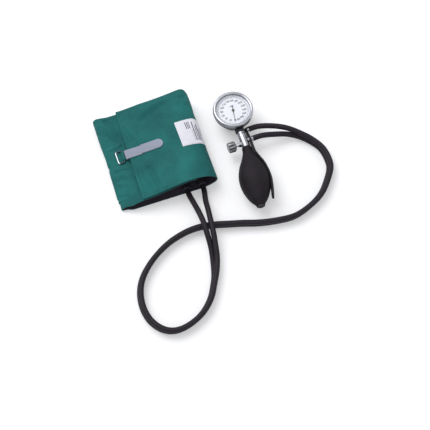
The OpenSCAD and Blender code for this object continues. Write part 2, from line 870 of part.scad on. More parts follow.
// Thin tube from the stem's bore down the case's tapered wall to the capsule's neck
tube_r = 0.8;
wall_gap = 0.35;
function wall_y(z) =
    tube_r + wall_gap - lookup(z, [[floor_t, hollow_floor_r], [hollow_top_z, bore_r]]);
module pressure_tube() {
    run = [capsule_x, 11.2];
    stop = [capsule_x, 0] - (1.5 + run_gap) * run / norm(run);
    path = [[0, -18.5, axis_h], [0, -16.2, axis_h - 0.1], [0, -14.4, axis_h - 2.8],
        for (z = [11, 6.5, 3.2]) [0, wall_y(z), z],
        [-0.6, -9, 2.75], [stop[0], stop[1], 2.75]];
    color("#c2a04e")
        at_gauge()
            swept(rounded(path, 3), tube_r, 8);
}

// Flat spiral spring between the pinion's arbor and a stud under the front plate
module hairspring() {
    turns = 4;
    r0 = 1.3;
    r1 = 6;
    steps = 96;
    z = 18.6;
    side = [for (i = [0:steps]) let (a = 360 * turns * i / steps, r = r0 + (r1 - r0) * i / steps)
        r * [cos(a), sin(a)]];
    color("#7f8aa0")
        at_gauge() {
            translate([0, 0, z])
                linear_extrude(0.6)
                    polygon(band(side, -0.12, 0.12));
            ring_of(arbor_r + run_gap, r0 + 0.05, z, z + 0.6);
            translate([r1 + 0.4, 0, z])
                cylinder(r = 0.5, h = plate_high - z);
        }
}

// The pointer rests on the zero mark, left of the line to the bulb
dial_top = ledge_z + 0.02 + dial_t;
pointer_z = dial_top + 0.5;
module pointer() {
    color("#17171a")
        at_gauge()
            rotate([0, 0, -90 - zero_deg])
                difference() {
                    union() {
                        translate([0, 0, pointer_z])
                            linear_extrude(0.3)
                                polygon([[-pointer_tail, -0.7], [-pointer_tail, 0.7], [-2, 0.35], [1, 0.45],
                                    [pointer_len - 4, 0.2], [pointer_len - 3.4, 0.8], [pointer_len, 0],
                                    [pointer_len - 3.4, -0.8], [pointer_len - 4, -0.2], [1, -0.45],
                                    [-2, -0.35]]);
                        translate([0, 0, pointer_z - 0.2])
                            cylinder(r = 1.5, h = 0.9);
                    }
                    translate([0, 0, pointer_z - 1])
                        cylinder(r = arbor_r, h = 3);
                }
}

module gauge_stem() {
    color("#c2a04e")
        translate([head_x, neck_y - 6, axis_h])
            rotate([-90, 0, 0])
                difference() {
                    cylinder(r = stem_r - 0.02, h = collar_reach + washer_t - 10.8);
                    translate([0, 0, -1])
                        cylinder(r = stem_bore_r, h = collar_reach);
                }
}

module neck_washer() {
    color("#2a2a2a")
        translate([head_x, neck_y, axis_h])
            rotate([-90, 0, 0])
                ring_of(stem_r + 0.05, neck_d / 2, 0.02, washer_t - 0.02);
}

// Valve head, in the neck's frame: z runs from the washer to the bulb, y is up
module at_neck() {
    translate([head_x, neck_y, axis_h])
        rotate([90, 0, 0])
            children();
}

neck_r = neck_d / 2;
spigot_r = 4.1;
spigot_end = neck_len + spigot_len;
way_r = 1.5;
ball_r = 2;
ball_bore_r = 2.6;
seat_bore_r = 1.1;
seat_s = neck_len + 4;
seat_len = 3;
orifice_r = 0.6;
shaft_r = 1.65;
nut_r = 3.2;
nut_len = 3;
nut_thread_r = 2.4;
stub_r = 1.5;
knob_bore_r = stub_r + run_gap;
needle_out = neck_r + nut_len;
knob_end = knob_reach + knob_len;
stub_end = knob_end - 2;

module bore_along(x0, x1, s, r) {
    translate([x0, 0, s])
        rotate([0, 90, 0])
            cylinder(r = r, h = x1 - x0);
}

module valve_body() {
    color("#c8cbd2")
        at_neck()
            difference() {
                union() {
                    rotate_extrude()
                        polygon([[0, 0], [neck_r - 0.5, 0], [neck_r, 0.5], [neck_r, 2.2],
                            [neck_r - 0.5, 2.6], [neck_r - 0.5, 3.4], [neck_r, 3.8],
                            [neck_r, neck_len - 0.4],
                            [neck_r - 0.4, neck_len], [spigot_r, neck_len], [spigot_r, neck_len + 6],
                            [spigot_r + 0.4, neck_len + 6.3], [spigot_r, neck_len + 8],
                            [spigot_r, spigot_end - 1], [spigot_r - 0.6, spigot_end], [0, spigot_end]]);
                    bore_along(0, boss_x, nipple_s, boss_r + 0.6);
                    bore_along(-neck_r - 0.4, 0, knob_s, nut_r + 0.4);
                }
                translate([0, 0, -1])
                    cylinder(r = stem_r, h = 7.2);
                translate([0, 0, 5])
                    cylinder(r = way_r, h = neck_len - 5);
                translate([0, 0, neck_len - 2])
                    cylinder(r = ball_bore_r, h = spigot_len + 3);
                bore_along(nipple_in, boss_x + 1, nipple_s, nipple_r);
                bore_along(0, boss_x, nipple_s, nipple_bore_r);
                bore_along(-neck_r, 0, knob_s, orifice_r);
                bore_along(-neck_r - 1, -2.4, knob_s, shaft_r + run_gap);
                bore_along(-neck_r - 1, -3, knob_s, nut_thread_r);
            }
}

module valve_seat() {
    color("#2b2b2e")
        at_neck()
            ring_of(seat_bore_r, ball_bore_r, seat_s, seat_s + seat_len);
}

// The ball of the outlet valve rests in the seat's bore and lifts towards the gauge
module check_ball() {
    color("#b9bcc2")
        at_neck()
            translate([0, 0, seat_s - sqrt(ball_r * ball_r - seat_bore_r * seat_bore_r) - 0.01])
                sphere(r = ball_r, $fn = 32);
}

// Nut screwed into the neck, which the release valve's shaft turns in
module packing_nut() {
    color("#c8cbd2")
        at_neck()
            difference() {
                union() {
                    translate([-neck_r - 0.4, 0, knob_s])
                        rotate([0, -90, 0])
                            cylinder(r = nut_r, h = nut_len - 0.4, $fn = 6);
                    bore_along(-neck_r - 0.5, -3.02, knob_s, nut_thread_r);
                }
                bore_along(-needle_out - 1, 0, knob_s, shaft_r + run_gap);
            }
}

// Needle of the release valve, with its cone in the orifice and a stub for the knob
module valve_needle() {
    color("#c8cbd2")
        at_neck()
            translate([0, 0, knob_s])
                rotate([0, -90, 0])
                    rotate_extrude()
                        polygon([[0, 1.6], [0.3, 1.6], [0.55, 2.38], [0.55, 2.45], [shaft_r, 3.4],
                            [shaft_r, needle_out + 0.3], [2, needle_out + 0.3], [2, knob_reach],
                            [stub_r, knob_reach], [stub_r, stub_end], [0, stub_end]]);
}

module thumb_knob() {
    r = knob_d / 2;
    color("#8f9196")
        at_neck()
            translate([0, 0, knob_s])
                rotate([0, -90, 0])
                    difference() {
                        rotate_extrude()
                            polygon([[knob_bore_r, knob_reach], [r - 1.6, knob_reach],
                                [r - 0.6, knob_reach + 1.2], [r, knob_reach + 1.6], [r, knob_end - 0.9],
                                [r - 0.9, knob_end], [0, knob_end], [0, stub_end], [knob_bore_r, stub_end]]);
                        for (i = [0:knob_flutes - 1])
                            rotate([0, 0, 360 / knob_flutes * i])
                                translate([r + 0.7, 0, knob_reach - 1])
                                    cylinder(r = 1.5, h = knob_len + 2, $fn = 24);
                    }
}

// Barbed nipple: a stub for the metal, a flange on the finger plate and a tail for the hose
flange_x = plate_off + finger_t + 0.1;
hose_face_x = flange_x + flange_t;
module nipple(y, z) {
    tail = hose_face_x + barb_len;
    step = barb_len / 3;
    shank_r = nipple_r - 0.02;
    translate([head_x, y, z])
        rotate([0, 90, 0])
            rotate_extrude()
                polygon(concat(
                    [[nipple_bore_r, nipple_in + 0.02], [shank_r, nipple_in + 0.02], [shank_r, flange_x],
                     [flange_d / 2, flange_x], [flange_d / 2, hose_face_x]],
                    [for (i = [0:2]) let (at = hose_face_x + step * i)
                        each [[2, at + 0.3], [2.7, at + 0.8], [2, at + step - 0.3]]],
                    [[1.8, tail], [nipple_bore_r, tail]]));
}

bulb_nipple_y = neck_y - nipple_s;
module bulb_hose_nipple() {
    color("#c8cbd2")
        nipple(bulb_nipple_y, axis_h);
}

module gauge_hose_nipple() {
    color("#c8cbd2")
        nipple(gauge_nipple_y, gauge_nipple_z);
}

// Bulb, in its own frame: the axis bends away from the neck's end
module at_bulb() {
    translate([head_x, bulb_y, axis_h])
        rotate([0, 0, -bulb_bend])
            rotate([90, 0, 0])
                translate([0, 0, 0.8])
                    children();
}

bulb_r = bulb_d / 2;
tail_r = 5;
tail_bore_r = 4;
valve_in = 7;
bulb_half = [[5.9, 0], [6.3, 0.09 * bulb_len], [9.5, 0.195 * bulb_len], [bulb_r - 3, 0.35 * bulb_len],
    [bulb_r, 0.532 * bulb_len], [bulb_r - 1.6, 0.714 * bulb_len], [bulb_r - 6.5, 0.87 * bulb_len],
    [tail_r + 0.8, bulb_len - 2.2], [tail_r, bulb_len - 0.6]];
module bulb() {
    outer = rounded(bulb_half, 3);
    hollow = [for (i = [6:18]) [outer[i][0] - bulb_wall, outer[i][1]]];
    color("#231f26")
        difference() {
            at_bulb()
                rotate_extrude($fn = 48)
                    polygon(concat([[0, 0]], outer, [[tail_r - 0.8, bulb_len], [0, bulb_len]]));
            at_bulb()
                rotate_extrude($fn = 48)
                    polygon(concat([[0, spigot_len + 0.2], [3.4, spigot_len + 0.2]], hollow,
                        [[3.4, bulb_len - valve_in], [0, bulb_len - valve_in]]));
            translate([head_x, bulb_y + 1, axis_h])
                rotate([90, 0, 0])
                    cylinder(r = spigot_r, h = spigot_len + 3);
            at_bulb()
                translate([0, 0, bulb_len - valve_in - 0.5])
                    cylinder(r = tail_bore_r, h = valve_in + 2);
        }
}

// Inlet valve pressed into the bulb's far end: a holed cup with a free disc inside
disc_r = 2.6;
disc_t = 0.6;
disc_lift = 0.6;
disc_s = bulb_len - valve_in + 1.4;
module inlet_valve() {
    room = disc_r + 0.2;
    valve_z = bulb_len - valve_in;
    lip_top_z = disc_s + disc_t + 0.1;
    rim_r = tail_r - 0.2;
    color("#c8cbd2")
        at_bulb()
            rotate_extrude()
                polygon([[1.6, valve_z], [tail_bore_r, valve_z], [tail_bore_r, bulb_len + 0.02],
                    [rim_r, bulb_len + 0.02], [rim_r, bulb_len + 0.6], [rim_r - 0.4, bulb_len + 0.8],
                    [1, bulb_len + 0.8], [1, lip_top_z], [room, lip_top_z],
                    [room, disc_s - disc_lift - 0.1], [1.6, disc_s - disc_lift - 0.1]]);
}

module inlet_disc() {
    color("#5c2f2a")
        at_bulb()
            translate([0, 0, disc_s + 0.08])
                cylinder(r = disc_r, h = disc_t);
}

// Finger plate: each station has its inner face's distance from the neck or bulb axis, its
// place along it, its height, its half width and how strongly it is cupped
bulb_reach = [for (p = rounded(bulb_half, 3)) [p[1], p[0]]];
equator = 0.532 * bulb_len;
function bulb_off(s) =
    finger_gap + (s < equator ? lookup(s, bulb_reach) : bulb_r - (s - equator) * (s - equator) / 240);
function neck_plan(off, y) = [head_x + off, y];
function bulb_plan(off, s) = [head_x + off * cos(bulb_bend) - (s + 0.8) * sin(bulb_bend),
    bulb_y - off * sin(bulb_bend) - (s + 0.8) * cos(bulb_bend)];
neck_stations = [[1.6, 2, gauge_nipple_z], [1, 3, gauge_nipple_z], [-0.2, 3.6, gauge_nipple_z],
    [-3, 4, gauge_nipple_z + 0.6], [-7, 4.4, gauge_nipple_z + 1.6], [-11, 4.7, gauge_nipple_z + 2.5],
    [-15, 5, axis_h], [-20, 5.2, axis_h]];
bulb_stations = [[0.04, 0.72, 0.016], [0.13, 0.8, 0.025], [0.24, 0.9, 0.035], [0.36, 0.98, 0.043],
    [0.5, 1, 0.05], [0.63, 0.97, 0.05],
    [0.74, 0.88, 0.05], [0.83, 0.74, 0.05], [0.9, 0.56, 0.05], [0.955, 0.34, 0.05],
    [0.99, 0.14, 0.05], [1, 0.05, 0.05]];
plate_plan = concat(
    [for (st = neck_stations) neck_plan(plate_off, gauge_nipple_y + st[0])],
    [for (st = bulb_stations) bulb_plan(bulb_off(st[0] * finger_len), st[0] * finger_len)]);
plate_shape = concat(
    [for (st = neck_stations) [st[1] * finger_w / 15, st[2], 0.004]],
    [for (st = bulb_stations) [st[1] * finger_w / 2, axis_h, st[2]]]);
function plate_side(k, lift) =
    let (t = tangent(plate_plan, k), n = [-t[1], t[0]], sh = plate_shape[k], c = 180 / PI * sh[0] * sh[2])
    [for (v = [-1:0.5:1])
        let (a = c * v, out = lift * cos(a) - (1 - cos(a)) / sh[2], up = (1 / sh[2] + lift) * sin(a))
            [plate_plan[k][0] + n[0] * out, plate_plan[k][1] + n[1] * out, sh[1] + up]];
module finger_plate() {
    color("#1c1c20")
        difference() {
            skin([for (k = [0:len(plate_plan) - 1])
                concat(plate_side(k, finger_t), reversed(plate_side(k, 0)))]);
            translate([head_x, gauge_nipple_y, gauge_nipple_z])
                rotate([0, 90, 0])
                    cylinder(r = nipple_r + 0.1, h = flange_x + 2);
            translate([head_x, bulb_nipple_y, axis_h])
                rotate([0, 90, 0])
                    cylinder(r = nipple_r + 0.1, h = flange_x + 2);
        }
}

// Hoses: hand-chosen points of the centre line. From the cuff to the twin stretch each has
// its own points, then the bulb's hose runs under the gauge's, and they part at the head.
twin_low = 3.3;
twin_high = 9.9;
twin_lean = 0.75;
twin_side = 0.6;
twin_plan = [[-23, -153], [-32, -168.5], [-45, -181.5], [-60, -189.5], [-75.5, -193], [-88, -191], [-98, -183.5],
    [-105.3, -171], [-108, -155], [-105.6, -138], [-98.8, -123], [-87.5, -110], [-73, -98.7], [-57, -90],
    [-42, -85], [-27, -82.3], [-12, -82.5], [3, -85.5], [17, -89.5], [33, -94], [52, -100], [73, -104],
    [93, -105], [113, -99], [131, -89], [145, -74], [155, -57], [155, -36]];
bulb_hose_path = concat(
    [[port_x1, port_y + port_hose_len, port_z], [port_x1, -38, port_z], [-12.5, -53, 10], [-11.5, -68, 15],
     [-11, -83, 17], [-11.5, -98, 14.5], [-12.2, -112, 8], [-14.8, -126, 4.3], [-18.8, -141, 3.5]],
    [for (p = twin_plan) [p[0] - twin_side, p[1] + twin_lean, twin_low]],
    [[148, -22, 3.6], [136, -10, 5.5], [121, -3, 10], [105, -0.5, 15], [91, bulb_nipple_y, axis_h],
     [head_x + hose_face_x, bulb_nipple_y, axis_h]]);
gauge_hose_path = concat(
    [[port_x2, port_y + port_hose_len, port_z], [port_x2, -38, port_z], [1.5, -53, 10], [-0.5, -68, 15],
     [-2.5, -83, 17], [-4.5, -98, 16.3], [-6.8, -112, 13], [-9.8, -126, 10.2], [-15.5, -141, 10]],
    [for (p = twin_plan) [p[0] + twin_side, p[1] - twin_lean, twin_high]],
    [[148, -21, 10.5], [136, -8, 12.5], [122, 3, 15], [106, 11, 15.5], [91, gauge_nipple_y, gauge_nipple_z],
     [head_x + hose_face_x, gauge_nipple_y, gauge_nipple_z]]);

module bulb_hose() {
    color("#2f2a34")
        swept(bulb_hose_path, hose_d / 2, hose_sides);
}

module gauge_hose() {
    color("#332e38")
        swept(gauge_hose_path, hose_d / 2, hose_sides);
}

cuff_base();
base_lining();
cuff_flap();
flap_lining();
bladder();
hook_pad();
loop_pad();
strap();
strap_tuck_end();
steel_ring();
ring_keeper();
cuff_label();
gauge_case();
bezel();
lens();
lens_gasket();
dial_ring();
dial_plate();
movement_rear_plate();
movement_front_plate();
movement_pillars();
movement_screws();
pinion();
sector_gear();
rocker_shaft();
capsule();
capsule_pin();
pressure_tube();
hairspring();
pointer();
gauge_stem();
neck_washer();
valve_body();
valve_seat();
check_ball();
packing_nut();
valve_needle();
thumb_knob();
bulb_hose_nipple();
gauge_hose_nipple();
bulb();
inlet_valve();
inlet_disc();
finger_plate();
bulb_hose();
gauge_hose();
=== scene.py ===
import bmesh
import bpy
import math
import numpy as np
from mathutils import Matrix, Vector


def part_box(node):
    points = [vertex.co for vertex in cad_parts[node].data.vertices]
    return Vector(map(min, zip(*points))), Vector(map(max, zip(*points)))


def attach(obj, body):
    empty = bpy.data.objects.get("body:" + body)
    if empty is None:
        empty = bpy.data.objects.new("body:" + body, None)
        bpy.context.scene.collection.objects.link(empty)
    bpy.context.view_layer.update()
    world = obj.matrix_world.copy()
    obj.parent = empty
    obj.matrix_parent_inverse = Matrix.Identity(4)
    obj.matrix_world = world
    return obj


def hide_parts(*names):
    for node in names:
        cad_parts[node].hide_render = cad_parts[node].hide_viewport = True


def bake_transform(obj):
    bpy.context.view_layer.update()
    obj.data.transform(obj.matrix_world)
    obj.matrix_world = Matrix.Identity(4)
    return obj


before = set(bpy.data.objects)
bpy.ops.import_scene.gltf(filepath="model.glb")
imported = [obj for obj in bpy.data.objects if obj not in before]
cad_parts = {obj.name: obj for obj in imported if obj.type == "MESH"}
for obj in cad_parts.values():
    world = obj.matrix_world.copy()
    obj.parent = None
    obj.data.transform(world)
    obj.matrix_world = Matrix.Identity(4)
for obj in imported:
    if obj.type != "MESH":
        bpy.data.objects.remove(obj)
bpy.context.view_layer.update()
print("frame loaded")

mm = 0.001
rootBody = "cuff_and_head"


# arrays of points

# the curve through points: from each point to the next a cubic, whose slope at each point is half the step
# between that point's neighbours
def smoothLine(points, steps):
    p = np.asarray(points, float)
    q = np.concatenate([2 * p[:1] - p[1:2], p, 2 * p[-1:] - p[-2:-1]])
    t = np.linspace(0, 1, steps, endpoint=False).reshape((1, -1) + (1,) * (p.ndim - 1))
    a, b, c, d = (q[i:len(q) - 3 + i, None] for i in range(4))
    line = 0.5 * (2 * b + (c - a) * t + (2 * a - 5 * b + 4 * c - d) * t**2 + (3 * b - a - 3 * c + d) * t**3)
    return np.concatenate([line.reshape((-1,) + p.shape[1:]), p[-1:]])


# distance travelled along a line, at each of its points
def runOf(line):
    return np.r_[0, np.cumsum(np.linalg.norm(np.diff(line, axis=0), axis=1))]


# the same line with count points at even distances along it
def evenLine(line, count):
    run = runOf(line)
    at = np.linspace(0, run[-1], count)
    return np.stack([np.interp(at, run, line[:, k]) for k in range(line.shape[1])], 1)


# each vector divided by its own length
def unit(v):
    v = np.asarray(v, float)
    return v / np.maximum(np.linalg.norm(v, axis=-1, keepdims=True), 1e-12)


# 0 below 0, 1 above 1, and 3t^2 - 2t^3 between
def ease(t):
    t = np.clip(t, 0, 1)
    return t * t * (3 - 2 * t)


# a bell round a middle: exp(-((value - middle) / width)^2)
def bell(value, middle, width):
    return np.exp(-((value - middle) / width) ** 2)


# ease from 0 at start to 1 a length past it
def rise(value, start, length):
    return ease((value - start) / length)


# ease from 1 a length before end to 0 at end
def fall(value, end, length):
    return ease((end - value) / length)


# normals of a grid: the way along a row crossed with the way from row to row
def gridNormals(p):
    return unit(np.cross(np.gradient(p, axis=1), np.gradient(p, axis=0)))


# a grid read between its points, row and col from 0 to 1: the four points round the place, each weighed by
# how near it is
def sampleGrid(p, row, col):
    r = np.clip(row, 0, 1) * (p.shape[0] - 1)
    c = np.clip(col, 0, 1) * (p.shape[1] - 1)
    i = np.minimum(r.astype(int), p.shape[0] - 2)
    j = np.minimum(c.astype(int), p.shape[1] - 2)
    a, b = (r - i)[..., None], (c - j)[..., None]
    return (p[i, j] * (1 - a) + p[i + 1, j] * a) * (1 - b) + (p[i, j + 1] * (1 - a) + p[i + 1, j + 1] * a) * b


# points into meshes

# quads of a grid of rows by cols, its rows open or closed on themselves
def gridFaces(rows, cols, colsClosed=False, start=0):
    i = np.arange(rows - 1)[:, None]
    j = np.arange(cols if colsClosed else cols - 1)[None, :]
    i2, j2 = i + 1, (j + 1) % cols
    return (start + np.stack([i * cols + j, i2 * cols + j, i2 * cols + j2, i * cols + j2], -1)).reshape(-1, 4)


# points in millimetres and faces become one object at the origin, its faces outwards, with a uv map in metres
def meshObject(name, verts, faces, uv=None, sharp=None):
    mesh = bpy.data.meshes.new(name)
    mesh.from_pydata((np.asarray(verts) * mm).tolist(), [], [list(f) for f in faces])
    if uv is not None:
        corner = np.zeros(len(mesh.loops), int)
        mesh.loops.foreach_get("vertex_index", corner)
        layer = mesh.uv_layers.new(name="surface")
        layer.data.foreach_set("uv", (np.asarray(uv)[corner] * mm).ravel())
    b = bmesh.new()
    b.from_mesh(mesh)
    bmesh.ops.recalc_face_normals(b, faces=b.faces)
    b.to_mesh(mesh)
    b.free()
    mesh.polygons.foreach_set("use_smooth", np.ones(len(mesh.polygons), bool))
    if sharp:
        mesh.set_sharp_from_angle(angle=math.radians(sharp))
    mesh.update()
    obj = bpy.data.objects.new(name, mesh)
    bpy.context.collection.objects.link(obj)
    return obj


# rings of points joined in order, closed at both ends by a fan round each end ring's middle
def skin(name, rings, uv=None, sharp=None):
    n, m, _ = rings.shape
    verts = np.vstack([rings.reshape(-1, 3), rings[0].mean(0), rings[-1].mean(0)])
    j = np.arange(m)
    first = np.stack([np.full(m, n * m), j, (j + 1) % m], 1)
    last = np.stack([np.full(m, n * m + 1), (n - 1) * m + (j + 1) % m, (n - 1) * m + j], 1)
    faces = gridFaces(n, m, colsClosed=True).tolist() + first.tolist() + last.tolist()
    if uv is not None:
        uv = np.vstack([uv, uv[:1], uv[-1:]])
    return meshObject(name, verts, faces, uv, sharp)


# circles square to a line, each one's first point level with the line
def tubeRings(line, radius, sides):
    along = unit(np.gradient(line, axis=0))
    side = unit(np.cross([0.0, 0.0, 1.0], along))
    over = np.cross(along, side)
    a = np.linspace(0, 2 * np.pi, sides, endpoint=False)[None, :, None]
    r = np.broadcast_to(np.asarray(radius, float).reshape(-1, 1, 1), (len(line), 1, 1))
    return line[:, None, :] + r * (np.cos(a) * side[:, None, :] + np.sin(a) * over[:, None, :])


# a round tube along a line, its uv the run along it and the way round it
def tube(name, line, radius, sides):
    rings = tubeRings(line, radius, sides)
    around = np.linspace(0, 2 * np.pi, sides, endpoint=False) * np.max(radius)
    return skin(name, rings, np.stack([np.repeat(runOf(line), sides), np.tile(around, len(line))], 1))


# rings about an axis: profile holds (radius, distance along it), and ripple changes the radius by angle and
# distance
def turnedRings(profile, point, direction, sides, ripple=None):
    profile = np.asarray(profile, float)
    along = unit(direction)
    side = unit(np.cross([0.0, 0.0, 1.0] if abs(along[2]) < 0.9 else [1.0, 0.0, 0.0], along))
    over = np.cross(along, side)
    a = np.linspace(0, 2 * np.pi, sides, endpoint=False)[None, :]
    r = np.repeat(profile[:, :1], sides, 1)
    if ripple is not None:
        r = ripple(r, a, profile[:, 1:2])
    return np.asarray(point) + profile[:, 1][:, None, None] * along + r[..., None] * (
        np.cos(a)[..., None] * side + np.sin(a)[..., None] * over)


# rings about an axis as one skin, its uv the run along the profile and the way round it
def turned(name, profile, point, direction, sides, ripple=None, sharp=None):
    rings = turnedRings(profile, point, direction, sides, ripple)
    profile = np.asarray(profile, float)
    around = np.linspace(0, 2 * np.pi, sides, endpoint=False) * profile[:, 0].max()
    uv = np.stack([np.repeat(runOf(profile), sides), np.tile(around, len(profile))], 1)
    return skin(name, rings, uv, sharp)


# a grid's outer points in order round it, as places in the list of its points
def rimOf(rows, cols):
    r, c = np.arange(rows), np.arange(cols)
    return np.r_[c, r[1:] * cols + cols - 1, (rows - 1) * cols + c[-2::-1], r[-2:0:-1] * cols]


# a sheet with thickness: the grid, the grid moved in along its normals, and a rounded rim half way between
# them, which stands out from the grid's edge by the share bulge of the thickness
def cloth(name, p, thick, uv, bulge=0.4):
    rows, cols, _ = p.shape
    back = p - gridNormals(p) * thick
    r, c = np.arange(rows), np.arange(cols)
    edge = rimOf(rows, cols)
    near = np.r_[cols + c, r[1:] * cols + cols - 2, (rows - 2) * cols + c[-2::-1], r[-2:0:-1] * cols + 1]
    front, behind = p.reshape(-1, 3), back.reshape(-1, 3)
    rim = (front[edge] + behind[edge]) / 2 + unit(front[edge] - front[near]) * thick * bulge
    n, k = rows * cols, np.arange(len(edge))
    edge2, k2 = np.roll(edge, -1), np.roll(k, -1)
    faces = np.vstack([gridFaces(rows, cols), gridFaces(rows, cols, start=n)[:, ::-1],
                       np.stack([edge, 2 * n + k, 2 * n + k2, edge2], 1),
                       np.stack([2 * n + k, n + edge, n + edge2, 2 * n + k2], 1)])
    flat = uv.reshape(-1, 2)
    return meshObject(name, np.vstack([front, behind, rim]), faces, np.vstack([flat, flat, flat[edge]]))


# several arrays of points and faces as one list of each
def merged(parts):
    start, verts, faces = 0, [], []
    for p, f in parts:
        verts.append(np.asarray(p).reshape(-1, 3))
        faces += [[int(i) + start for i in face] for face in f]
        start += len(verts[-1])
    return np.vstack(verts), faces


# what every finished piece is told: its material, its body and the nodes it stands for
def finish(obj, material, body=None, nodes=()):
    obj.data.materials.clear()
    obj.data.materials.append(material)
    if body:
        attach(obj, body)
    if nodes:
        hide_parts(*nodes)


# camera, at the photograph's angle
cameraSet = {"place": (-0.20635, -0.6797, 1.3843), "turn": (25.0, 0.0, -19.3), "lens": 110.0,
             "sensor": 36.0, "sees": 20.0}
cameraData = bpy.data.cameras.new("camera")
cameraData.lens = cameraSet["lens"]
cameraData.sensor_width = cameraSet["sensor"]
cameraData.clip_end = cameraSet["sees"]
camera = bpy.data.objects.new("camera", cameraData)
camera.location = cameraSet["place"]
camera.rotation_euler = [math.radians(a) for a in cameraSet["turn"]]
bpy.context.collection.objects.link(camera)
bpy.context.scene.camera = camera


# a node's box in the frame, as its low and high corners in millimetres
def nodeBox(name):
    low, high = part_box(name)
    return np.array(low) / mm, np.array(high) / mm


cuffLow, cuffHigh = nodeBox("cuff_base")
clothLength = float(cuffHigh[1] - cuffLow[1])
bezelLow, bezelHigh = nodeBox("bezel")
headX = (bezelLow[0] + bezelHigh[0]) / 2
gaugeY = (bezelLow[1] + bezelHigh[1]) / 2
axisZ = (nodeBox("bulb")[0][2] + nodeBox("bulb")[1][2]) / 2


# how far along the cuff a place is: 0 at the near mouth and 1 at the far one
def rowAt(y):
    return (y - cuffLow[1]) / clothLength


# hoses: from the ports both run side by side along the twin plan, and part on the last stretch to the head
hose = {"diameter": 6.5, "sides": 28, "steps": 9, "port1": -13.75, "port2": 4.75, "portY": -24.6,
        "portZ": 5.8, "portExit": -38.0, "lower": 3.3, "upper": 9.9, "lean": 0.75, "side": 0.6,
        "bulbY": 1.096, "gaugeY": 15.696, "gaugeZ": 15.0, "endX": 79.45, "headX": 91.0}
twinPlan = [(-23, -153), (-32, -168.5), (-45, -181.5), (-60, -189.5), (-75.5, -193), (-88, -191),
            (-98, -183.5), (-105.3, -171), (-108, -155), (-105.6, -138), (-98.8, -123), (-87.5, -110),
            (-73, -98.7), (-57, -90), (-42, -85), (-27, -82.3), (-12, -82.5), (3, -85.5), (17, -89.5),
            (33, -94), (52, -100), (73, -104), (93, -105), (113, -99), (131, -89), (145, -74), (155, -57),
            (155, -36)]
bulbHosePoints = ([(hose["port1"], y, hose["portZ"]) for y in (hose["portY"], hose["portExit"])]
                  + [(-12.5, -53, 10), (-11.5, -68, 15), (-11, -83, 17), (-11.5, -98, 14.5), (-12.2, -112, 8),
                     (-14.8, -126, 4.3), (-18.8, -141, 3.5)]
                  + [(x - hose["side"], y + hose["lean"], hose["lower"]) for x, y in twinPlan]
                  + [(148, -22, 3.6), (136, -10, 5.5), (121, -3, 10), (105, -0.5, 15)]
                  + [(x, hose["bulbY"], axisZ) for x in (hose["headX"], hose["endX"])])
gaugeHosePoints = ([(hose["port2"], y, hose["portZ"]) for y in (hose["portY"], hose["portExit"])]
                   + [(1.5, -53, 10), (-0.5, -68, 15), (-2.5, -83, 17), (-4.5, -98, 16.3), (-6.8, -112, 13),
                      (-9.8, -126, 10.2), (-15.5, -141, 10)]
                   + [(x + hose["side"], y - hose["lean"], hose["upper"]) for x, y in twinPlan]
                   + [(148, -21, 10.5), (136, -8, 12.5), (122, 3, 15), (106, 11, 15.5)]
                   + [(x, hose["gaugeY"], hose["gaugeZ"]) for x in (hose["headX"], hose["endX"])])
hosePieces = {}
for name, points in (("bulb_hose", bulbHosePoints), ("gauge_hose", gaugeHosePoints)):
    line = smoothLine(points, hose["steps"])
    hosePieces[name] = tube(name + "_rubber", line, hose["diameter"] / 2, hose["sides"])


# shader helpers

# one node, with its properties, and its inputs set to values or linked to sockets
def addNode(tree, kind, inputs=None, **props):
    node = tree.nodes.new(kind)
    for key, value in props.items():
        setattr(node, key, value)
    for key, value in (inputs or {}).items():
        if isinstance(value, bpy.types.NodeSocket):
            tree.links.new(value, node.inputs[key])
        else:
            node.inputs[key].default_value = value
    return node


# a sum, product or other step of arithmetic on sockets or numbers
def calc(tree, operation, a, b=0.0, c=None):
    inputs = {0: a, 1: b} if c is None else {0: a, 1: b, 2: c}
    return addNode(tree, "ShaderNodeMath", inputs, operation=operation).outputs[0]


# a colour between two, by a factor
def mixColour(tree, factor, a, b):
    return addNode(tree, "ShaderNodeMix", {0: factor, 6: a, 7: b}, data_type="RGBA").outputs[2]


# a value carried from one range to another
def remap(tree, value, low, high, toLow=0.0, toHigh=1.0):
    return addNode(tree, "ShaderNodeMapRange", {0: value, 1: low, 2: high, 3: toLow, 4: toHigh}).outputs[0]


noiseRange = (0.3, 0.7)


# a noise carried from the range that most of its values lie in
def spread(tree, noise, toLow=0.0, toHigh=1.0):
    return remap(tree, noise, *noiseRange, toLow, toHigh)


# a linear colour from the eight-bit numbers of a screen: v / 12.92 in the darkest part, and past it
# ((v + 0.055) / 1.055)^2.4
def linear(colour):
    share = [v / 255 for v in colour]
    return tuple(v / 12.92 if v <= 0.04 else ((v + 0.055) / 1.055) ** 2.4 for v in share) + (1.0,)


# a node group with its sockets, given as (name, type, default)
def newGroup(name, ins, outs):
    tree = bpy.data.node_groups.new(name, "ShaderNodeTree")
    for label, kind, default in ins:
        socket = tree.interface.new_socket(name=label, in_out="INPUT", socket_type="NodeSocket" + kind)
        if default is not None:
            socket.default_value = default
    for label, kind in outs:
        tree.interface.new_socket(name=label, in_out="OUTPUT", socket_type="NodeSocket" + kind)
    return tree, tree.nodes.new("NodeGroupInput").outputs, tree.nodes.new("NodeGroupOutput").inputs


# values into the sockets of a node, by the sockets' names: the values are all sockets themselves
def linkAll(tree, sockets, values):
    for key, value in values.items():
        tree.links.new(value, sockets[key])


# plain weave: height is half the product of two sines across the threads, plus a half; tone is a slow noise
# over the cloth, and slub a noise drawn out along one thread
weaveSet = {"threads": 1800.0, "cloudiness": 25.0, "detail": 3.0, "slubScale": (90.0, 1400.0, 1.0)}


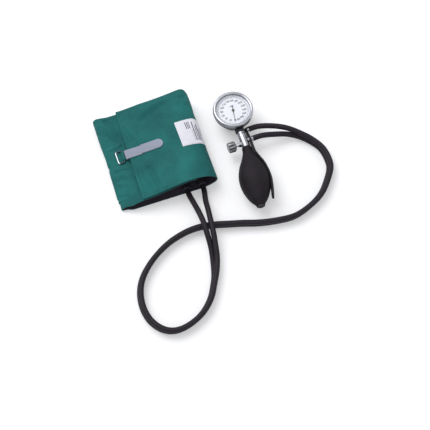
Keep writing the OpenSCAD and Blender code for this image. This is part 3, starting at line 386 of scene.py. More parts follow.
def makeWeave():
    tree, given, out = newGroup("plainWeave", [("Vector", "Vector", None),
                                               ("Threads", "Float", weaveSet["threads"]),
                                               ("Cloudiness", "Float", weaveSet["cloudiness"])],
                                [("Height", "Float"), ("Tone", "Float"), ("Slub", "Float")])
    split = addNode(tree, "ShaderNodeSeparateXYZ", {0: given["Vector"]}).outputs
    turn = calc(tree, "MULTIPLY", given["Threads"], math.pi)
    warp = calc(tree, "SINE", calc(tree, "MULTIPLY", split["X"], turn))
    weft = calc(tree, "SINE", calc(tree, "MULTIPLY", split["Y"], turn))
    height = calc(tree, "MULTIPLY_ADD", calc(tree, "MULTIPLY", warp, weft), 0.5, 0.5)
    tone = addNode(tree, "ShaderNodeTexNoise", {"Vector": given["Vector"], "Scale": given["Cloudiness"],
                                                "Detail": weaveSet["detail"], "Roughness": 0.55})
    drawn = addNode(tree, "ShaderNodeMapping", {"Vector": given["Vector"], "Scale": weaveSet["slubScale"]})
    slub = addNode(tree, "ShaderNodeTexNoise", {"Vector": drawn.outputs[0], "Scale": 1.0, "Detail": 2.0})
    linkAll(tree, out, {"Height": height, "Tone": tone.outputs[0], "Slub": slub.outputs[0]})
    return tree


# grain: fine noise for the bump, broad noise for the tone, and thin scuffs where a third noise crosses its
# own middle, but only where the broad noise is high
grainSet = {"fine": 2500.0, "broad": 60.0, "scuffs": 0.2, "lineScale": 3.0, "lineWidth": 0.02,
            "scuffFrom": 0.52, "scuffTo": 0.7}


def makeGrain():
    tree, given, out = newGroup("fineGrain",
                                [("Vector", "Vector", None), ("Fine", "Float", grainSet["fine"]),
                                 ("Broad", "Float", grainSet["broad"]),
                                 ("Scuffs", "Float", grainSet["scuffs"])],
                                [("Height", "Float"), ("Tone", "Float"), ("Scuff", "Float")])
    vector = given["Vector"]
    noise = lambda scale, **more: addNode(tree, "ShaderNodeTexNoise", {"Vector": vector, "Scale": scale,
                                                                       **more}).outputs[0]
    fine = noise(given["Fine"], Detail=2.0)
    broad = noise(given["Broad"], Detail=4.0)
    line = noise(calc(tree, "MULTIPLY", given["Broad"], grainSet["lineScale"]), Detail=5.0, Distortion=1.5)
    offLine = calc(tree, "ABSOLUTE", calc(tree, "SUBTRACT", line, 0.5))
    nearness = remap(tree, offLine, 0.0, grainSet["lineWidth"], 1.0, 0.0)
    where = remap(tree, broad, grainSet["scuffFrom"], grainSet["scuffTo"])
    scuff = calc(tree, "MULTIPLY", calc(tree, "MULTIPLY", nearness, where), given["Scuffs"])
    linkAll(tree, out, {"Height": fine, "Tone": broad, "Scuff": scuff})
    return tree


weaveGroup = makeWeave()
grainGroup = makeGrain()


# a material with its principled shader; plain numbers go straight onto the shader
def newMaterial(name, **values):
    mat = bpy.data.materials.new(name)
    mat.use_nodes = True
    tree = mat.node_tree
    shader = tree.nodes["Principled BSDF"]
    for key, value in values.items():
        shader.inputs[key.replace("_", " ")].default_value = value
    return mat, tree, shader


# cloth: weave on the piece's uv, tone between two colours, and a painted highlight on threads that stand up,
# which are also less rough
clothSet = {"toneShare": 0.8, "slubTone": 0.12, "weaveShare": 0.7, "bump": 0.5, "threadHighlight": 0.25}


def clothMaterial(name, dark, light, threads, depth, sheen=0.15, roughness=0.75):
    mat, tree, shader = newMaterial(name, Sheen_Weight=sheen, Sheen_Roughness=0.5, Specular_IOR_Level=0.25)
    uv = addNode(tree, "ShaderNodeUVMap", uv_map="surface").outputs[0]
    weave = addNode(tree, "ShaderNodeGroup", {"Vector": uv, "Threads": threads},
                    node_tree=weaveGroup).outputs
    tone = calc(tree, "ADD", calc(tree, "MULTIPLY", spread(tree, weave["Tone"]), clothSet["toneShare"]),
                spread(tree, weave["Slub"], -clothSet["slubTone"], clothSet["slubTone"]))
    base = mixColour(tree, tone, linear(dark), linear(light))
    height = calc(tree, "ADD", calc(tree, "MULTIPLY", weave["Height"], clothSet["weaveShare"]), weave["Slub"])
    bump = addNode(tree, "ShaderNodeBump", {"Strength": clothSet["bump"], "Distance": depth,
                                            "Height": height})
    # painted highlight: threads that stand up are mixed towards the lighter colour
    threadHighlight = remap(tree, weave["Height"], 0.0, 1.0, 0.0, clothSet["threadHighlight"])
    linkAll(tree, shader.inputs, {
        "Base Color": mixColour(tree, threadHighlight, base, linear(light)),
        "Roughness": remap(tree, weave["Height"], 0.0, 1.0, roughness + 0.1, roughness - 0.05),
        "Normal": bump.outputs[0]})
    return mat


# rubber, plastic or metal: grain on the object's coordinates or on its uv, tone between two colours, and
# duller scuffs in a colour of their own
solidSet = {"bump": 0.4, "scuffRough": 0.3}


def solidMaterial(name, dark, light, rough, fine=2500.0, depth=0.00002, scuffs=0.2, scuffColour=None,
                  byUv=False, **values):
    mat, tree, shader = newMaterial(name, **values)
    place = (addNode(tree, "ShaderNodeUVMap", uv_map="surface").outputs[0] if byUv
             else addNode(tree, "ShaderNodeTexCoord").outputs["Object"])
    grain = addNode(tree, "ShaderNodeGroup", {"Vector": place, "Fine": fine, "Scuffs": scuffs},
                    node_tree=grainGroup).outputs
    base = mixColour(tree, spread(tree, grain["Tone"]), linear(dark), linear(light))
    bump = addNode(tree, "ShaderNodeBump", {"Strength": solidSet["bump"], "Distance": depth,
                                            "Height": grain["Height"]})
    linkAll(tree, shader.inputs, {
        "Base Color": mixColour(tree, grain["Scuff"], base, linear(scuffColour or light)),
        "Roughness": calc(tree, "ADD", spread(tree, grain["Tone"], *rough),
                          calc(tree, "MULTIPLY", grain["Scuff"], solidSet["scuffRough"])),
        "Normal": bump.outputs[0]})
    return mat


# clear plastic that lets the lamps' light through to what lies under it
def lensMaterial():
    mat, tree, shader = newMaterial("clear_lens", Base_Color=(1, 1, 1, 1), Roughness=0.03, IOR=1.45,
                                    Transmission_Weight=1.0, Metallic=0.0)
    through = addNode(tree, "ShaderNodeBsdfTransparent")
    path = addNode(tree, "ShaderNodeLightPath").outputs
    byLight = calc(tree, "MAXIMUM", path["Is Shadow Ray"], path["Is Diffuse Ray"])
    mix = addNode(tree, "ShaderNodeMixShader", {0: byLight, 1: shader.outputs[0], 2: through.outputs[0]})
    tree.links.new(mix.outputs[0], tree.nodes["Material Output"].inputs["Surface"])
    return mat


# tint a material's colour where a value has come from low to high: the colour times the tint there
def tintBy(mat, value, low, high, tint):
    tree = mat.node_tree
    target = tree.nodes["Principled BSDF"].inputs["Base Color"]
    colour = target.links[0].from_socket
    times = addNode(tree, "ShaderNodeMix", {0: 1.0, 6: colour, 7: tint + (1.0,)}, data_type="RGBA",
                    blend_type="MULTIPLY")
    tree.links.new(mixColour(tree, remap(tree, value, low, high), colour, times.outputs[2]), target)


# one coordinate of the object, or of a uv map that is named, in metres
def axisOf(mat, axis, uvMap=None):
    tree = mat.node_tree
    place = (addNode(tree, "ShaderNodeUVMap", uv_map=uvMap).outputs["UV"] if uvMap
             else addNode(tree, "ShaderNodeTexCoord").outputs["Object"])
    return addNode(tree, "ShaderNodeSeparateXYZ", {0: place}).outputs[axis]


# materials, with their darker and lighter colour as a screen's numbers: a cloth then has its threads in a
# metre and the height of its bumps, and a solid its least and greatest roughness
green = clothMaterial("green_cuff_cloth", (18, 79, 82), (30, 116, 112), 1500.0, 0.00012, sheen=0.03)
lining = clothMaterial("dark_lining", (34, 29, 39), (56, 50, 63), 1200.0, 0.00012, sheen=0.05)
strapCloth = clothMaterial("grey_strap", (132, 139, 156), (156, 162, 178), 900.0, 0.00018, sheen=0.3)
labelCloth = clothMaterial("white_label", (214, 213, 226), (234, 234, 243), 2600.0, 0.00003, sheen=0.25,
                           roughness=0.5)
padCloth = clothMaterial("hook_and_loop", (34, 84, 84), (52, 116, 110), 700.0, 0.0005, sheen=0.4)
thread = clothMaterial("sewing_thread", (30, 76, 76), (44, 100, 98), 3000.0, 0.00003)
whiteThread = clothMaterial("white_thread", (206, 210, 222), (226, 228, 236), 3000.0, 0.00003)
labelInk = solidMaterial("label_ink", (70, 70, 86), (92, 92, 108), (0.6, 0.7), scuffs=0.0)
hoseRubber = solidMaterial("hose_rubber", (21, 15, 24), (32, 26, 37), (0.5, 0.62), depth=0.00003, byUv=True,
                           scuffs=0.15, scuffColour=(60, 55, 68), Specular_IOR_Level=0.27)
bulbRubber = solidMaterial("bulb_rubber", (24, 19, 25), (36, 31, 38), (0.62, 0.72), depth=0.00006,
                           fine=1600.0, scuffs=0.12, scuffColour=(50, 46, 55), Specular_IOR_Level=0.2)
bladderRubber = solidMaterial("bladder_rubber", (30, 28, 34), (44, 42, 50), (0.55, 0.7), depth=0.00005)
chrome = solidMaterial("polished_chrome", (140, 141, 148), (172, 173, 180), (0.14, 0.22), scuffs=0.15,
                       scuffColour=(168, 170, 178), depth=0.000004, Metallic=1.0)
bezelChrome = solidMaterial("satin_bezel", (168, 170, 178), (196, 198, 206), (0.2, 0.28), scuffs=0.15,
                            scuffColour=(170, 172, 180), depth=0.000004, Metallic=1.0)
steel = solidMaterial("ring_steel", (170, 176, 184), (206, 210, 216), (0.25, 0.35), scuffs=0.3,
                      scuffColour=(140, 146, 152), Metallic=1.0)
# the ring's steel: painted shade darkens its arms past the left bar, below
ringSteelPaintedShade = solidMaterial("ring_steel_painted_shade", (176, 180, 188), (206, 210, 216), (0.25, 0.35), scuffs=0.3,
                          scuffColour=(150, 156, 162), Metallic=1.0)
# the ring is bright only along its left bar, its arms past it darkened as painted shade, and the bezel only
# on top: each goes dark between two distances from there
dim = {"barFrom": 1.6, "barTo": 2.2, "ringShadeTint": (0.10, 0.13, 0.14),
       "topFrom": 2.0, "topTo": 3.4, "bezelTint": (0.28, 0.28, 0.29)}
ringLeft = float(nodeBox("steel_ring")[0][0])
bezelTop = float(bezelHigh[2])
tintBy(ringSteelPaintedShade, axisOf(ringSteelPaintedShade, 0), (ringLeft + dim["barFrom"]) * mm, (ringLeft + dim["barTo"]) * mm,
       dim["ringShadeTint"])
tintBy(bezelChrome, axisOf(bezelChrome, 2), (bezelTop - dim["topFrom"]) * mm,
       (bezelTop - dim["topTo"]) * mm, dim["bezelTint"])
knobMetal = solidMaterial("knob_metal", (128, 129, 132), (164, 165, 168), (0.24, 0.34), scuffs=0.4,
                          scuffColour=(196, 198, 202), Metallic=1.0)
brass = solidMaterial("brass_movement", (190, 156, 84), (214, 182, 106), (0.25, 0.4), Metallic=1.0)
bluedSteel = solidMaterial("blued_steel", (70, 78, 110), (110, 120, 150), (0.2, 0.35), Metallic=1.0)
caseBlack = solidMaterial("case_plastic", (28, 27, 31), (40, 39, 44), (0.35, 0.5), depth=0.00003,
                          scuffs=0.4, scuffColour=(96, 96, 102))
plateBlack = solidMaterial("plate_paint", (14, 12, 15), (24, 22, 25), (0.5, 0.62), depth=0.00002,
                           scuffs=0.2, scuffColour=(70, 68, 74), Specular_IOR_Level=0.25)
gasket = solidMaterial("gasket_rubber", (40, 40, 44), (52, 52, 56), (0.6, 0.7))
paleGasket = solidMaterial("lens_gasket_plastic", (120, 122, 130), (146, 148, 156), (0.5, 0.6))
tickInk = solidMaterial("tick_ink", (120, 120, 134), (140, 140, 152), (0.5, 0.6), scuffs=0.0)
seatRubber = solidMaterial("seat_rubber", (40, 38, 42), (56, 52, 58), (0.55, 0.7))
discRubber = solidMaterial("disc_rubber", (96, 48, 42), (120, 62, 54), (0.5, 0.65))
dialPaint = solidMaterial("dial_paint", (226, 229, 240), (236, 238, 246), (0.35, 0.45), depth=0.000005,
                          scuffs=0.0)
dialInk = solidMaterial("dial_ink", (40, 38, 54), (56, 54, 70), (0.5, 0.6), scuffs=0.0)
pointerBlack = solidMaterial("pointer_paint", (26, 26, 32), (38, 38, 46), (0.3, 0.4), scuffs=0.0)
lensClear = lensMaterial()
print("materials ready")

for name, piece in hosePieces.items():
    finish(piece, hoseRubber, rootBody, [name])

# the cuff's cloth: crown is a rise of the flap halfway along the arm, and the left fold's near end is drawn
# out by spread and steps in at the corner
cuff = {"cloth": 1.0, "lining": 0.8, "layer": 0.05, "rows": 150, "steps": 7, "cornerRadius": 7.0,
        "crownLift": 1.2, "crownX": -2.0, "crownWide": 16.0, "hem": 3.2, "stitch": 2.6, "stitchGap": 1.0,
        "threadRadius": 0.22, "cornerEnd": 0.985, "spread": 3.1, "spreadFrom": 35.0,
        "cornerStep": 1.6}
# outlines of the outer cloth across the cuff as (x, z), at the near mouth and at the far one
flapNear = [(-67.2, 18.9), (-60, 20.0), (-51.75, 21.7), (-42, 23.9), (-33.75, 26.1), (-25, 28.6),
            (-16.75, 30.6), (-8, 31.2), (0, 30.3), (8.25, 27.8), (14, 24.8), (18.6, 21.0), (22.2, 16.8),
            (23.7, 12.2)]
flapFar = [(-63.2, 20.4), (-57, 21.0), (-50, 21.8), (-42, 22.7), (-33.75, 23.6), (-25, 24.4),
           (-16.75, 25.3), (-8, 26.5), (0, 27.9), (8.25, 29.0), (15, 29.5), (20.6, 28.0), (24.5, 22.0),
           (25.2, 12.2)]
baseNear = [(23.7, 11.8), (22.6, 8.4), (19.8, 5.6), (15.5, 3.2), (8, 1.0), (0.75, 0.1), (-20, 0), (-40, 0),
            (-60, 0), (-78, 0), (-88, 0.3), (-91.4, 1.2), (-92.3, 3.0), (-91.4, 5.0), (-87, 7.6),
            (-80, 11.2), (-74, 14.0), (-68, 15.8), (-60, 16.8), (-50, 18.4), (-40, 20.8), (-30, 24.0),
            (-20, 26.8), (-10, 28.6), (-1.75, 28.1)]
baseFar = [(25.2, 11.8), (24.9, 7.0), (23.0, 3.2), (18.5, 0.8), (8, 0), (0.75, 0), (-20, 0), (-40, 0),
           (-60, 0), (-78, 0), (-86, 0.8), (-91, 4.0), (-92.5, 9.5), (-91.8, 15.5), (-88.5, 18.4),
           (-83, 17.4), (-76, 15.0), (-69, 15.0), (-60, 16.0), (-50, 17.4), (-40, 18.9), (-30, 20.4),
           (-20, 22.0), (-10, 23.7), (-1.75, 25.2)]
# soft folds in the cloth seen from above: x and y of both ends, width and height
flapFolds = [(-40, 66, -4, 75, 5.0, -1.1), (-44, 74, -8, 82, 5.0, 0.6), (-52, 80, -50, 38, 4.5, 0.9),
             (-60, 82, -59, 40, 3.5, -0.5), (-54, 11, -50, -30, 3.5, 0.7), (-60, 8, -57, -30, 3.0, -0.4),
             (-44, 16, -36, -30, 5.0, 0.5), (-13, 22, -17, -28, 7.0, -0.7), (2, -2, 12, -30, 7.0, 0.6),
             (-20, 60, 6, 52, 7.0, -0.5), (-34, 50, -12, 44, 6.0, 0.4), (12, 70, 20, 50, 5.0, -0.5),
             (-58, 70, -54, 44, 2.6, 0.8), (-8, 84, 18, 66, 3.5, 0.7), (-2, 78, 20, 74, 2.6, -0.8),
             (-50, 4, -44, -28, 2.4, -0.8)]
baseFolds = [(-88, 78, -68, 60, 3.0, 0.9), (-90, 70, -72, 52, 2.5, -0.6), (-83, 60, -72, 44, 2.5, 0.6),
             (-77, 11, -64, -10, 3.0, 0.8), (-82, 6, -70, -16, 2.5, -0.6), (-87, -2, -77, -7, 2.0, 0.6),
             (-90, -14, -78, -20, 2.2, -0.6), (-91, 24, -84, 12, 2.0, -0.5), (-86, 42, -70, 46, 1.8, 0.7),
             (-88, 17, -68, 12, 1.8, 0.7), (-80, 82, -66, 70, 2.2, -0.7), (-76, 0, -68, -26, 2.0, 0.6)]


# smooth values between random ones on a square grid of cells, the same each run: the four round the place,
# mixed by ease of how far across the cell it is; the table of values repeats, and shift keeps places positive
noiseTable = {"size": 64, "shift": 400}


def softNoise(x, y, cell, seed):
    size = noiseTable["size"]
    table = np.random.default_rng(seed).uniform(-1, 1, (size, size))
    gx, gy = x / cell + noiseTable["shift"], y / cell + noiseTable["shift"]
    i, j = np.floor(gx).astype(int), np.floor(gy).astype(int)
    a, b = ease(gx - i), ease(gy - j)
    t = lambda p, q: table[(i + p) % size, (j + q) % size]
    return (t(0, 0) * (1 - a) + t(1, 0) * a) * (1 - b) + (t(0, 1) * (1 - a) + t(1, 1) * a) * b


# height of folds: each a ridge with a bell section, exp(-(distance / width)^2), that wavers a little from
# side to side and fades at the ends over fade times its width
foldSet = {"waver": 1.2, "waverLong": 7.0, "fade": 1.5}


def foldHeight(x, y, folds):
    total = np.zeros_like(x)
    for x0, y0, x1, y1, width, height in folds:
        along = np.array([x1 - x0, y1 - y0])
        length = np.linalg.norm(along)
        t = ((x - x0) * along[0] + (y - y0) * along[1]) / length
        d = ((x - x0) * along[1] - (y - y0) * along[0]) / length
        d = d + foldSet["waver"] * np.sin(t / foldSet["waverLong"] + x0)
        fade = foldSet["fade"] * width
        ends = ease(t / fade + 0.5) * ease((length - t) / fade + 0.5)
        total += height * bell(d, 0, width) * ends
    return total


# a cloth surface: sections between the near and far outlines, run from the near mouth to the far one, whose
# far right corner is rounded in plan; rows go along the arm and columns round the section
def clothSurface(near, far, lift):
    v = np.linspace(0, 1, cuff["rows"])[:, None, None]
    near, far = np.array(near, float)[None], np.array(far, float)[None]
    control = near * (1 - v) + far * v
    crown = bell(control[..., 0], cuff["crownX"], cuff["crownWide"])
    control[..., 1] += lift * (4 * v * (1 - v))[..., 0] * crown
    section = smoothLine(control.transpose(1, 0, 2), cuff["steps"]).transpose(1, 0, 2)
    x, z = section[..., 0], section[..., 1]
    r = cuff["cornerRadius"]
    over = np.clip(x - (cuffHigh[0] - r), 0, r * cuff["cornerEnd"])
    farEdge = cuffHigh[1] - (r - np.sqrt(r * r - over**2))
    y = cuffLow[1] + np.linspace(0, 1, cuff["rows"])[:, None] * (farEdge - cuffLow[1])
    return np.stack([x, y, z], -1)


# uv in millimetres: the mean way round the section, and the way along the arm
def clothUv(p):
    around = np.r_[0, np.cumsum(np.linalg.norm(np.diff(p, axis=1), axis=-1).mean(0))]
    return np.stack([np.broadcast_to(around, p.shape[:2]), p[..., 1]], -1)


strapAt = {"y": 29.396, "halfWidth": 5.5, "tipX": -69.85, "endX": -23.85, "thick": 1.2, "tuckX": -56.0,
           "shift": -0.8, "turn": 0.058, "jog": 0.9, "jogX": -50.5, "length": 51.0, "tuckLength": 14.5}
ringAt = {"x": -71.9, "z": 16.75, "padTop": 15.0}

# waves of the cloth: the share taken of the folds, then each noise as (height, size of its cells, seed); the
# pairs below are (where along x, y or z, over what length), and a bell's are (middle, width)
flapWave = {"folds": 1.9, "broad": (0.6, 17, 3), "fine": (0.12, 6, 4), "hinge": (12.2, 6), "calm": 0.8,
            "calmWide": 10, "calmFrom": (-75, 4), "calmTo": (-18, 6), "edgeLift": 0.9, "edge": (-66, 3),
            "strapWide": 9, "edgeWave": 0.5, "waveAt": (-65, 5), "waveStart": 0.6, "waves": 1.5}
baseWave = {"folds": 1.9, "broad": (0.5, 11, 8), "fine": (0.12, 5, 9), "openFrom": (2.5, 4),
            "openTo": (-66, 5)}
# the flat place under the ring's pad, which is on the base's top only
padPlace = {"half": (16, 8), "from": (-86, 4), "to": (-58, 4), "above": 8}
# the left fold: pinches as (y, width, depth), then how its near corner steps and turns in from the mouth, and
# the least height of its turned edge
leftFold = {"pinches": [(-18.6, 2.2, 0.9), (24.0, 2.0, 0.6)], "pinchAt": (-92, 4), "pinchFrom": (1, 2),
            "from": (-62, 16), "step": (11.5, 1.6), "turn": 2.4, "turnFrom": (-79, 10), "turnLength": 14.0,
            "floor": 0.02, "edgeFloor": 0.3, "edgeX": -86, "edgeZ": 3}


# how far a cloth's folds and noises lift it
def waveHeight(x, y, folds, wave):
    noise = sum(high * softNoise(x, y, cell, seed) for high, cell, seed in (wave["broad"], wave["fine"]))
    return wave["folds"] * foldHeight(x, y, folds) + noise


# flap: its waves fade at the right fold and lie calm under the strap, and its free edge is lifted, but not at
# the strap
flapSurface = clothSurface(flapNear, flapFar, cuff["crownLift"])
x, y, z = (flapSurface[..., k] for k in range(3))
underStrap = (bell(y, strapAt["y"], flapWave["calmWide"]) * rise(x, *flapWave["calmFrom"])
              * fall(x, *flapWave["calmTo"]))
calm = 1 - flapWave["calm"] * underStrap
lift = waveHeight(x, y, flapFolds, flapWave) * rise(z, *flapWave["hinge"]) * calm
lift += flapWave["edgeLift"] * bell(x, *flapWave["edge"]) * (1 - bell(y, strapAt["y"], flapWave["strapWide"]))
turns = rowAt(y) * flapWave["waves"] * 2 * np.pi
lift += flapWave["edgeWave"] * np.sin(turns + flapWave["waveStart"]) * bell(x, *flapWave["waveAt"]) * calm
flapSurface = flapSurface + gridNormals(flapSurface) * lift[..., None]
flapUv = clothUv(flapSurface)

# base: flat under the ring's pad and along the bottom, waved on the open part of its top, pinched in and
# drawn out at the left fold
baseSurface = clothSurface(baseNear, baseFar, 0.0)
x, y, z = (baseSurface[..., k].copy() for k in range(3))
padMask = (fall(np.abs(y - strapAt["y"]), *padPlace["half"]) * rise(x, *padPlace["from"])
           * fall(x, *padPlace["to"]) * (z > padPlace["above"]))
baseSurface[..., 2] = z * (1 - padMask) + ringAt["padTop"] * padMask
x, y, z = (baseSurface[..., k] for k in range(3))
openTop = rise(z, *baseWave["openFrom"]) * fall(x, *baseWave["openTo"]) * (1 - padMask)
lift = waveHeight(x, y, baseFolds, baseWave) * openTop
for pinchY, width, deep in leftFold["pinches"]:
    lift -= deep * bell(y, pinchY, width) * bell(x, *leftFold["pinchAt"]) * rise(z, *leftFold["pinchFrom"])
baseSurface = baseSurface + gridNormals(baseSurface) * lift[..., None]
x, y, z = (baseSurface[..., k] for k in range(3))
fromMouth = y - cuffLow[1]
spreadShare = np.clip((cuff["spreadFrom"] - y) / (cuff["spreadFrom"] - cuffLow[1]), 0, 1)
out = cuff["spread"] * spreadShare - cuff["cornerStep"] * fall(fromMouth, *leftFold["step"])
baseSurface[..., 0] = x - fall(x, *leftFold["from"]) * out
turnIn = fall(x, *leftFold["turnFrom"]) * fall(fromMouth, leftFold["turnLength"], leftFold["turnLength"])
baseSurface[..., 1] = y + leftFold["turn"] * turnIn
onEdge = (x < leftFold["edgeX"]) * (z < leftFold["edgeZ"])
baseSurface[..., 2] = np.maximum(z, leftFold["floor"] + leftFold["edgeFloor"] * onEdge)
baseUv = clothUv(baseSurface)


# what lies on the flap: its placing baked into its points
def rideFlap(obj):
    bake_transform(obj)


flapCloth = cloth("flap_cloth", flapSurface, cuff["cloth"], flapUv)
finish(flapCloth, green, None, ["cuff_flap"])
baseCloth = cloth("base_cloth", baseSurface, cuff["cloth"], baseUv)
finish(baseCloth, green, rootBody, ["cuff_base"])

# linings lie just inside the outer cloth; on the bottom, from a little inside the mouth, the base's lining
# goes over the bladder
over = {"lift": 3.25, "from": (-77.0, 6.0), "to": (12.0, 8.0), "mouth": 12.0, "below": 8.0, "floor": 1.0}
inside = cuff["cloth"] + cuff["layer"]
flapInner = flapSurface - gridNormals(flapSurface) * inside
flapLining = cloth("flap_lining_cloth", flapInner[:, 2:], cuff["lining"], flapUv[:, 2:])
finish(flapLining, lining, None, ["flap_lining"])
x, y, z = (baseSurface[..., k] for k in range(3))
overBag = rise(x, *over["from"]) * fall(x, *over["to"]) * (z < over["below"])
depth = inside + over["lift"] * overBag * rise(y, cuffLow[1], over["mouth"])
baseInner = baseSurface - gridNormals(baseSurface) * depth[..., None]
innerZ = baseInner[..., 2]
baseInner[..., 2] = np.where(z < over["below"], np.maximum(innerZ, over["floor"]), innerZ)
baseLining = cloth("base_lining_cloth", baseInner, cuff["lining"], baseUv)
finish(baseLining, lining, rootBody, ["base_lining"])
for obj in (flapCloth, flapLining):
    rideFlap(obj)

# what is sewn to the cuff
topMapSpan = (-90.0, 22.0, 225)  # across the cuff, a point every half millimetre
topX = np.linspace(*topMapSpan)
flapTopMap = np.array([np.interp(topX, row[:, 0], row[:, 2]) for row in flapSurface])


# height of the flap's outer face over a point of the plan
def flapTop(x, y):
    return sampleGrid(flapTopMap[..., None], rowAt(y), (x - topX[0]) / (topX[-1] - topX[0]))[..., 0]


# a grid's column, as a fraction, at which its middle row reaches x; columns before first are left out
def columnAt(p, x, first=0):
    row = p[p.shape[0] // 2, first:, 0]
    return (np.interp(x, row, np.arange(len(row))) + first) / (p.shape[1] - 1)


# part of a surface between two columns and two rows, moved out along the normals
def patchOf(p, rows, cols, rowCount, colCount, out):
    r, c = np.meshgrid(np.linspace(*rows, rowCount), np.linspace(*cols, colCount), indexing="ij")
    return sampleGrid(p, r, c) + sampleGrid(gridNormals(p), r, c) * out


# strap: from its fold round the ring it lies a gap over the flap, and its free end is round; under is how far
# below the flap's face its sewn end lies
fold = {"x": -67.15, "high": 18.5, "low": 18.05, "past": 0.4, "gap": 0.15, "under": 3.2, "ripple": 0.12,
        "rippleLong": 5.5, "rippleFrom": (-66, 8), "jogLong": 0.7, "upperArc": (184, 96, 12),
        "lowerArc": (264, 180, 10)}
across = np.sin(np.linspace(-1, 1, 25) * np.pi / 2)[:, None]
strapY = strapAt["y"] + across * strapAt["halfWidth"]
atTurn = flapTop(fold["x"] + 0 * strapY, strapY)
overFlap = strapAt["thick"] + fold["gap"]


# a quarter of an ellipse round the fold: x by the cosine and z by the sine of angles between two in degrees
def foldArc(fromAngle, toAngle, count, middle, high):
    angle = np.radians(np.linspace(fromAngle, toAngle, count))[None, :]
    reach = fold["x"] - strapAt["tipX"]
    return fold["x"] + reach * np.cos(angle) + 0 * strapY, middle + high * np.sin(angle)


# two stretches of the strap as one grid across its width
def strapGridOf(first, second):
    x = np.hstack([first[0], second[0]])
    return np.stack([x, strapY + 0 * x, np.hstack([first[1], second[1]])], -1)


endX = strapAt["endX"] - strapAt["halfWidth"] * (1 - np.sqrt(np.maximum(1 - across**2, 0.0)))
startX = fold["x"] + fold["past"]
runX = startX + (endX - startX) * np.linspace(0, 1, 70)[None, :]
ripple = fold["ripple"] * np.sin(runX / fold["rippleLong"]) * rise(runX, *fold["rippleFrom"])
runZ = flapTop(runX, strapY + 0 * runX) + overFlap + ripple
strapArc = foldArc(*fold["upperArc"], fold["high"], atTurn + overFlap - fold["high"])
strapGrid = strapGridOf(strapArc, (runX, runZ))
jog = strapAt["jog"] * rise(strapGrid[..., 0], strapAt["jogX"], fold["jogLong"])
strapGrid[..., 1] += strapAt["shift"] - strapAt["turn"] * np.maximum(strapGrid[..., 0] - fold["x"], 0) + jog
strapPiece = cloth("grey_strap", strapGrid, strapAt["thick"], clothUv(strapGrid), bulge=0.2)
finish(strapPiece, strapCloth, "strap", ["strap"])

# the strap's sewn end: under the flap's edge and up the lower half of the fold
tuckX = np.linspace(strapAt["tuckX"], startX, 20)[None, :] + 0 * strapY
tuckZ = flapTop(tuckX, strapY + 0 * tuckX) - fold["under"]
tuckArc = foldArc(*fold["lowerArc"], fold["low"], fold["low"] - atTurn + fold["under"])
tuckGrid = strapGridOf((tuckX, tuckZ), tuckArc)
tuckPiece = cloth("strap_sewn_end", tuckGrid, strapAt["thick"], clothUv(tuckGrid), bulge=0.2)
finish(tuckPiece, strapCloth, "flap", ["strap_tuck_end"])

# keeper: a band round the ring's bar, both its ends sewn down towards the flap's edge
keeper = {"half": 5.5, "thick": 0.7, "middle": 1.3, "tailEnd": -62.9, "tailStart": 0.5, "tailZ": 15.42,
          "turn": (-90, -380, 30), "upper": [(-69.9, 16.2), (-69.0, 16.14), (-67.6, 16.12)]}
around = np.radians(np.linspace(*keeper["turn"]))
loop = np.stack([ringAt["x"] + keeper["middle"] * np.cos(around),
                 ringAt["z"] + keeper["middle"] * np.sin(around)], 1)
tail = np.stack([np.linspace(keeper["tailEnd"], ringAt["x"] + keeper["tailStart"], 12),
                 np.full(12, keeper["tailZ"])], 1)
keeperLine = evenLine(smoothLine(np.vstack([tail, loop, keeper["upper"]]), 3), 90)
keeperNormal = unit(np.stack([-np.gradient(keeperLine[:, 1]), np.gradient(keeperLine[:, 0])], 1))
keeperLine = keeperLine - keeperNormal * keeper["thick"] / 2
keeperY = strapAt["y"] + np.linspace(-1, 1, 13)[:, None] * keeper["half"]
keeperGrid = np.stack(np.broadcast_arrays(keeperLine[:, 0], keeperY, keeperLine[:, 1]), -1)
keeperPiece = cloth("ring_keeper_band", keeperGrid, -keeper["thick"], clothUv(keeperGrid), bulge=0.3)
finish(keeperPiece, green, rootBody, ["ring_keeper"])

# label: a patch of the flap's surface over the right fold, moved out by its own thickness
label = {"left": -3.6, "near": 11.4, "far": 45.2, "thick": 0.4, "gap": 0.04, "tail": 0.965, "ink": 0.03}
labelRows = (rowAt(label["near"]), rowAt(label["far"]))
labelCols = (columnAt(flapSurface, label["left"]), label["tail"])
labelGrid = patchOf(flapSurface, labelRows, labelCols, 60, 60, label["thick"] + label["gap"])
labelUv = clothUv(labelGrid)
labelPiece = cloth("cuff_label_cloth", labelGrid, label["thick"], labelUv, bulge=0.3)
finish(labelPiece, labelCloth, None, ["cuff_label"])
rideFlap(labelPiece)

# blank form printed on the label: ruled bars and a row of ticks, each a thin patch of the label's surface;
# bars are given as (from, to) across and (from, to) along, in fractions of the label
bars = ([(0.27 + 0.06 * k, 0.30 + 0.06 * k, 0.62, 0.9) for k in range(3)]
        + [(0.51, 0.55, 0.14, 0.88), (0.60, 0.63, 0.14, 0.7), (0.67, 0.71, 0.14, 0.78),
           (0.76, 0.79, 0.14, 0.62)]
        + [(0.44, 0.47 + 0.02 * (k % 5 == 0), 0.14 + 0.037 * k, 0.15 + 0.037 * k) for k in range(12)])
verts, faces = merged([(patchOf(labelGrid, (b0, b1), (a0, a1), 12, 5, label["ink"]), gridFaces(12, 5))
                       for a0, a1, b0, b1 in bars])
labelPrint = meshObject("label_ruling", verts, faces)
finish(labelPrint, labelInk)
rideFlap(labelPrint)

# hook and loop pads between the flap and the cloth under it
pads = {"left": -53.75, "hookLen": 16.0, "loopLen": 28.0, "thick": 0.6, "inset": 8.0, "hookGap": 0.1,
        "loopGap": 0.02}
padRows = (rowAt(cuffLow[1] + pads["inset"]), rowAt(cuffHigh[1] - pads["inset"]))
leftmost = int(np.argmin(baseSurface[baseSurface.shape[0] // 2, :, 0]))


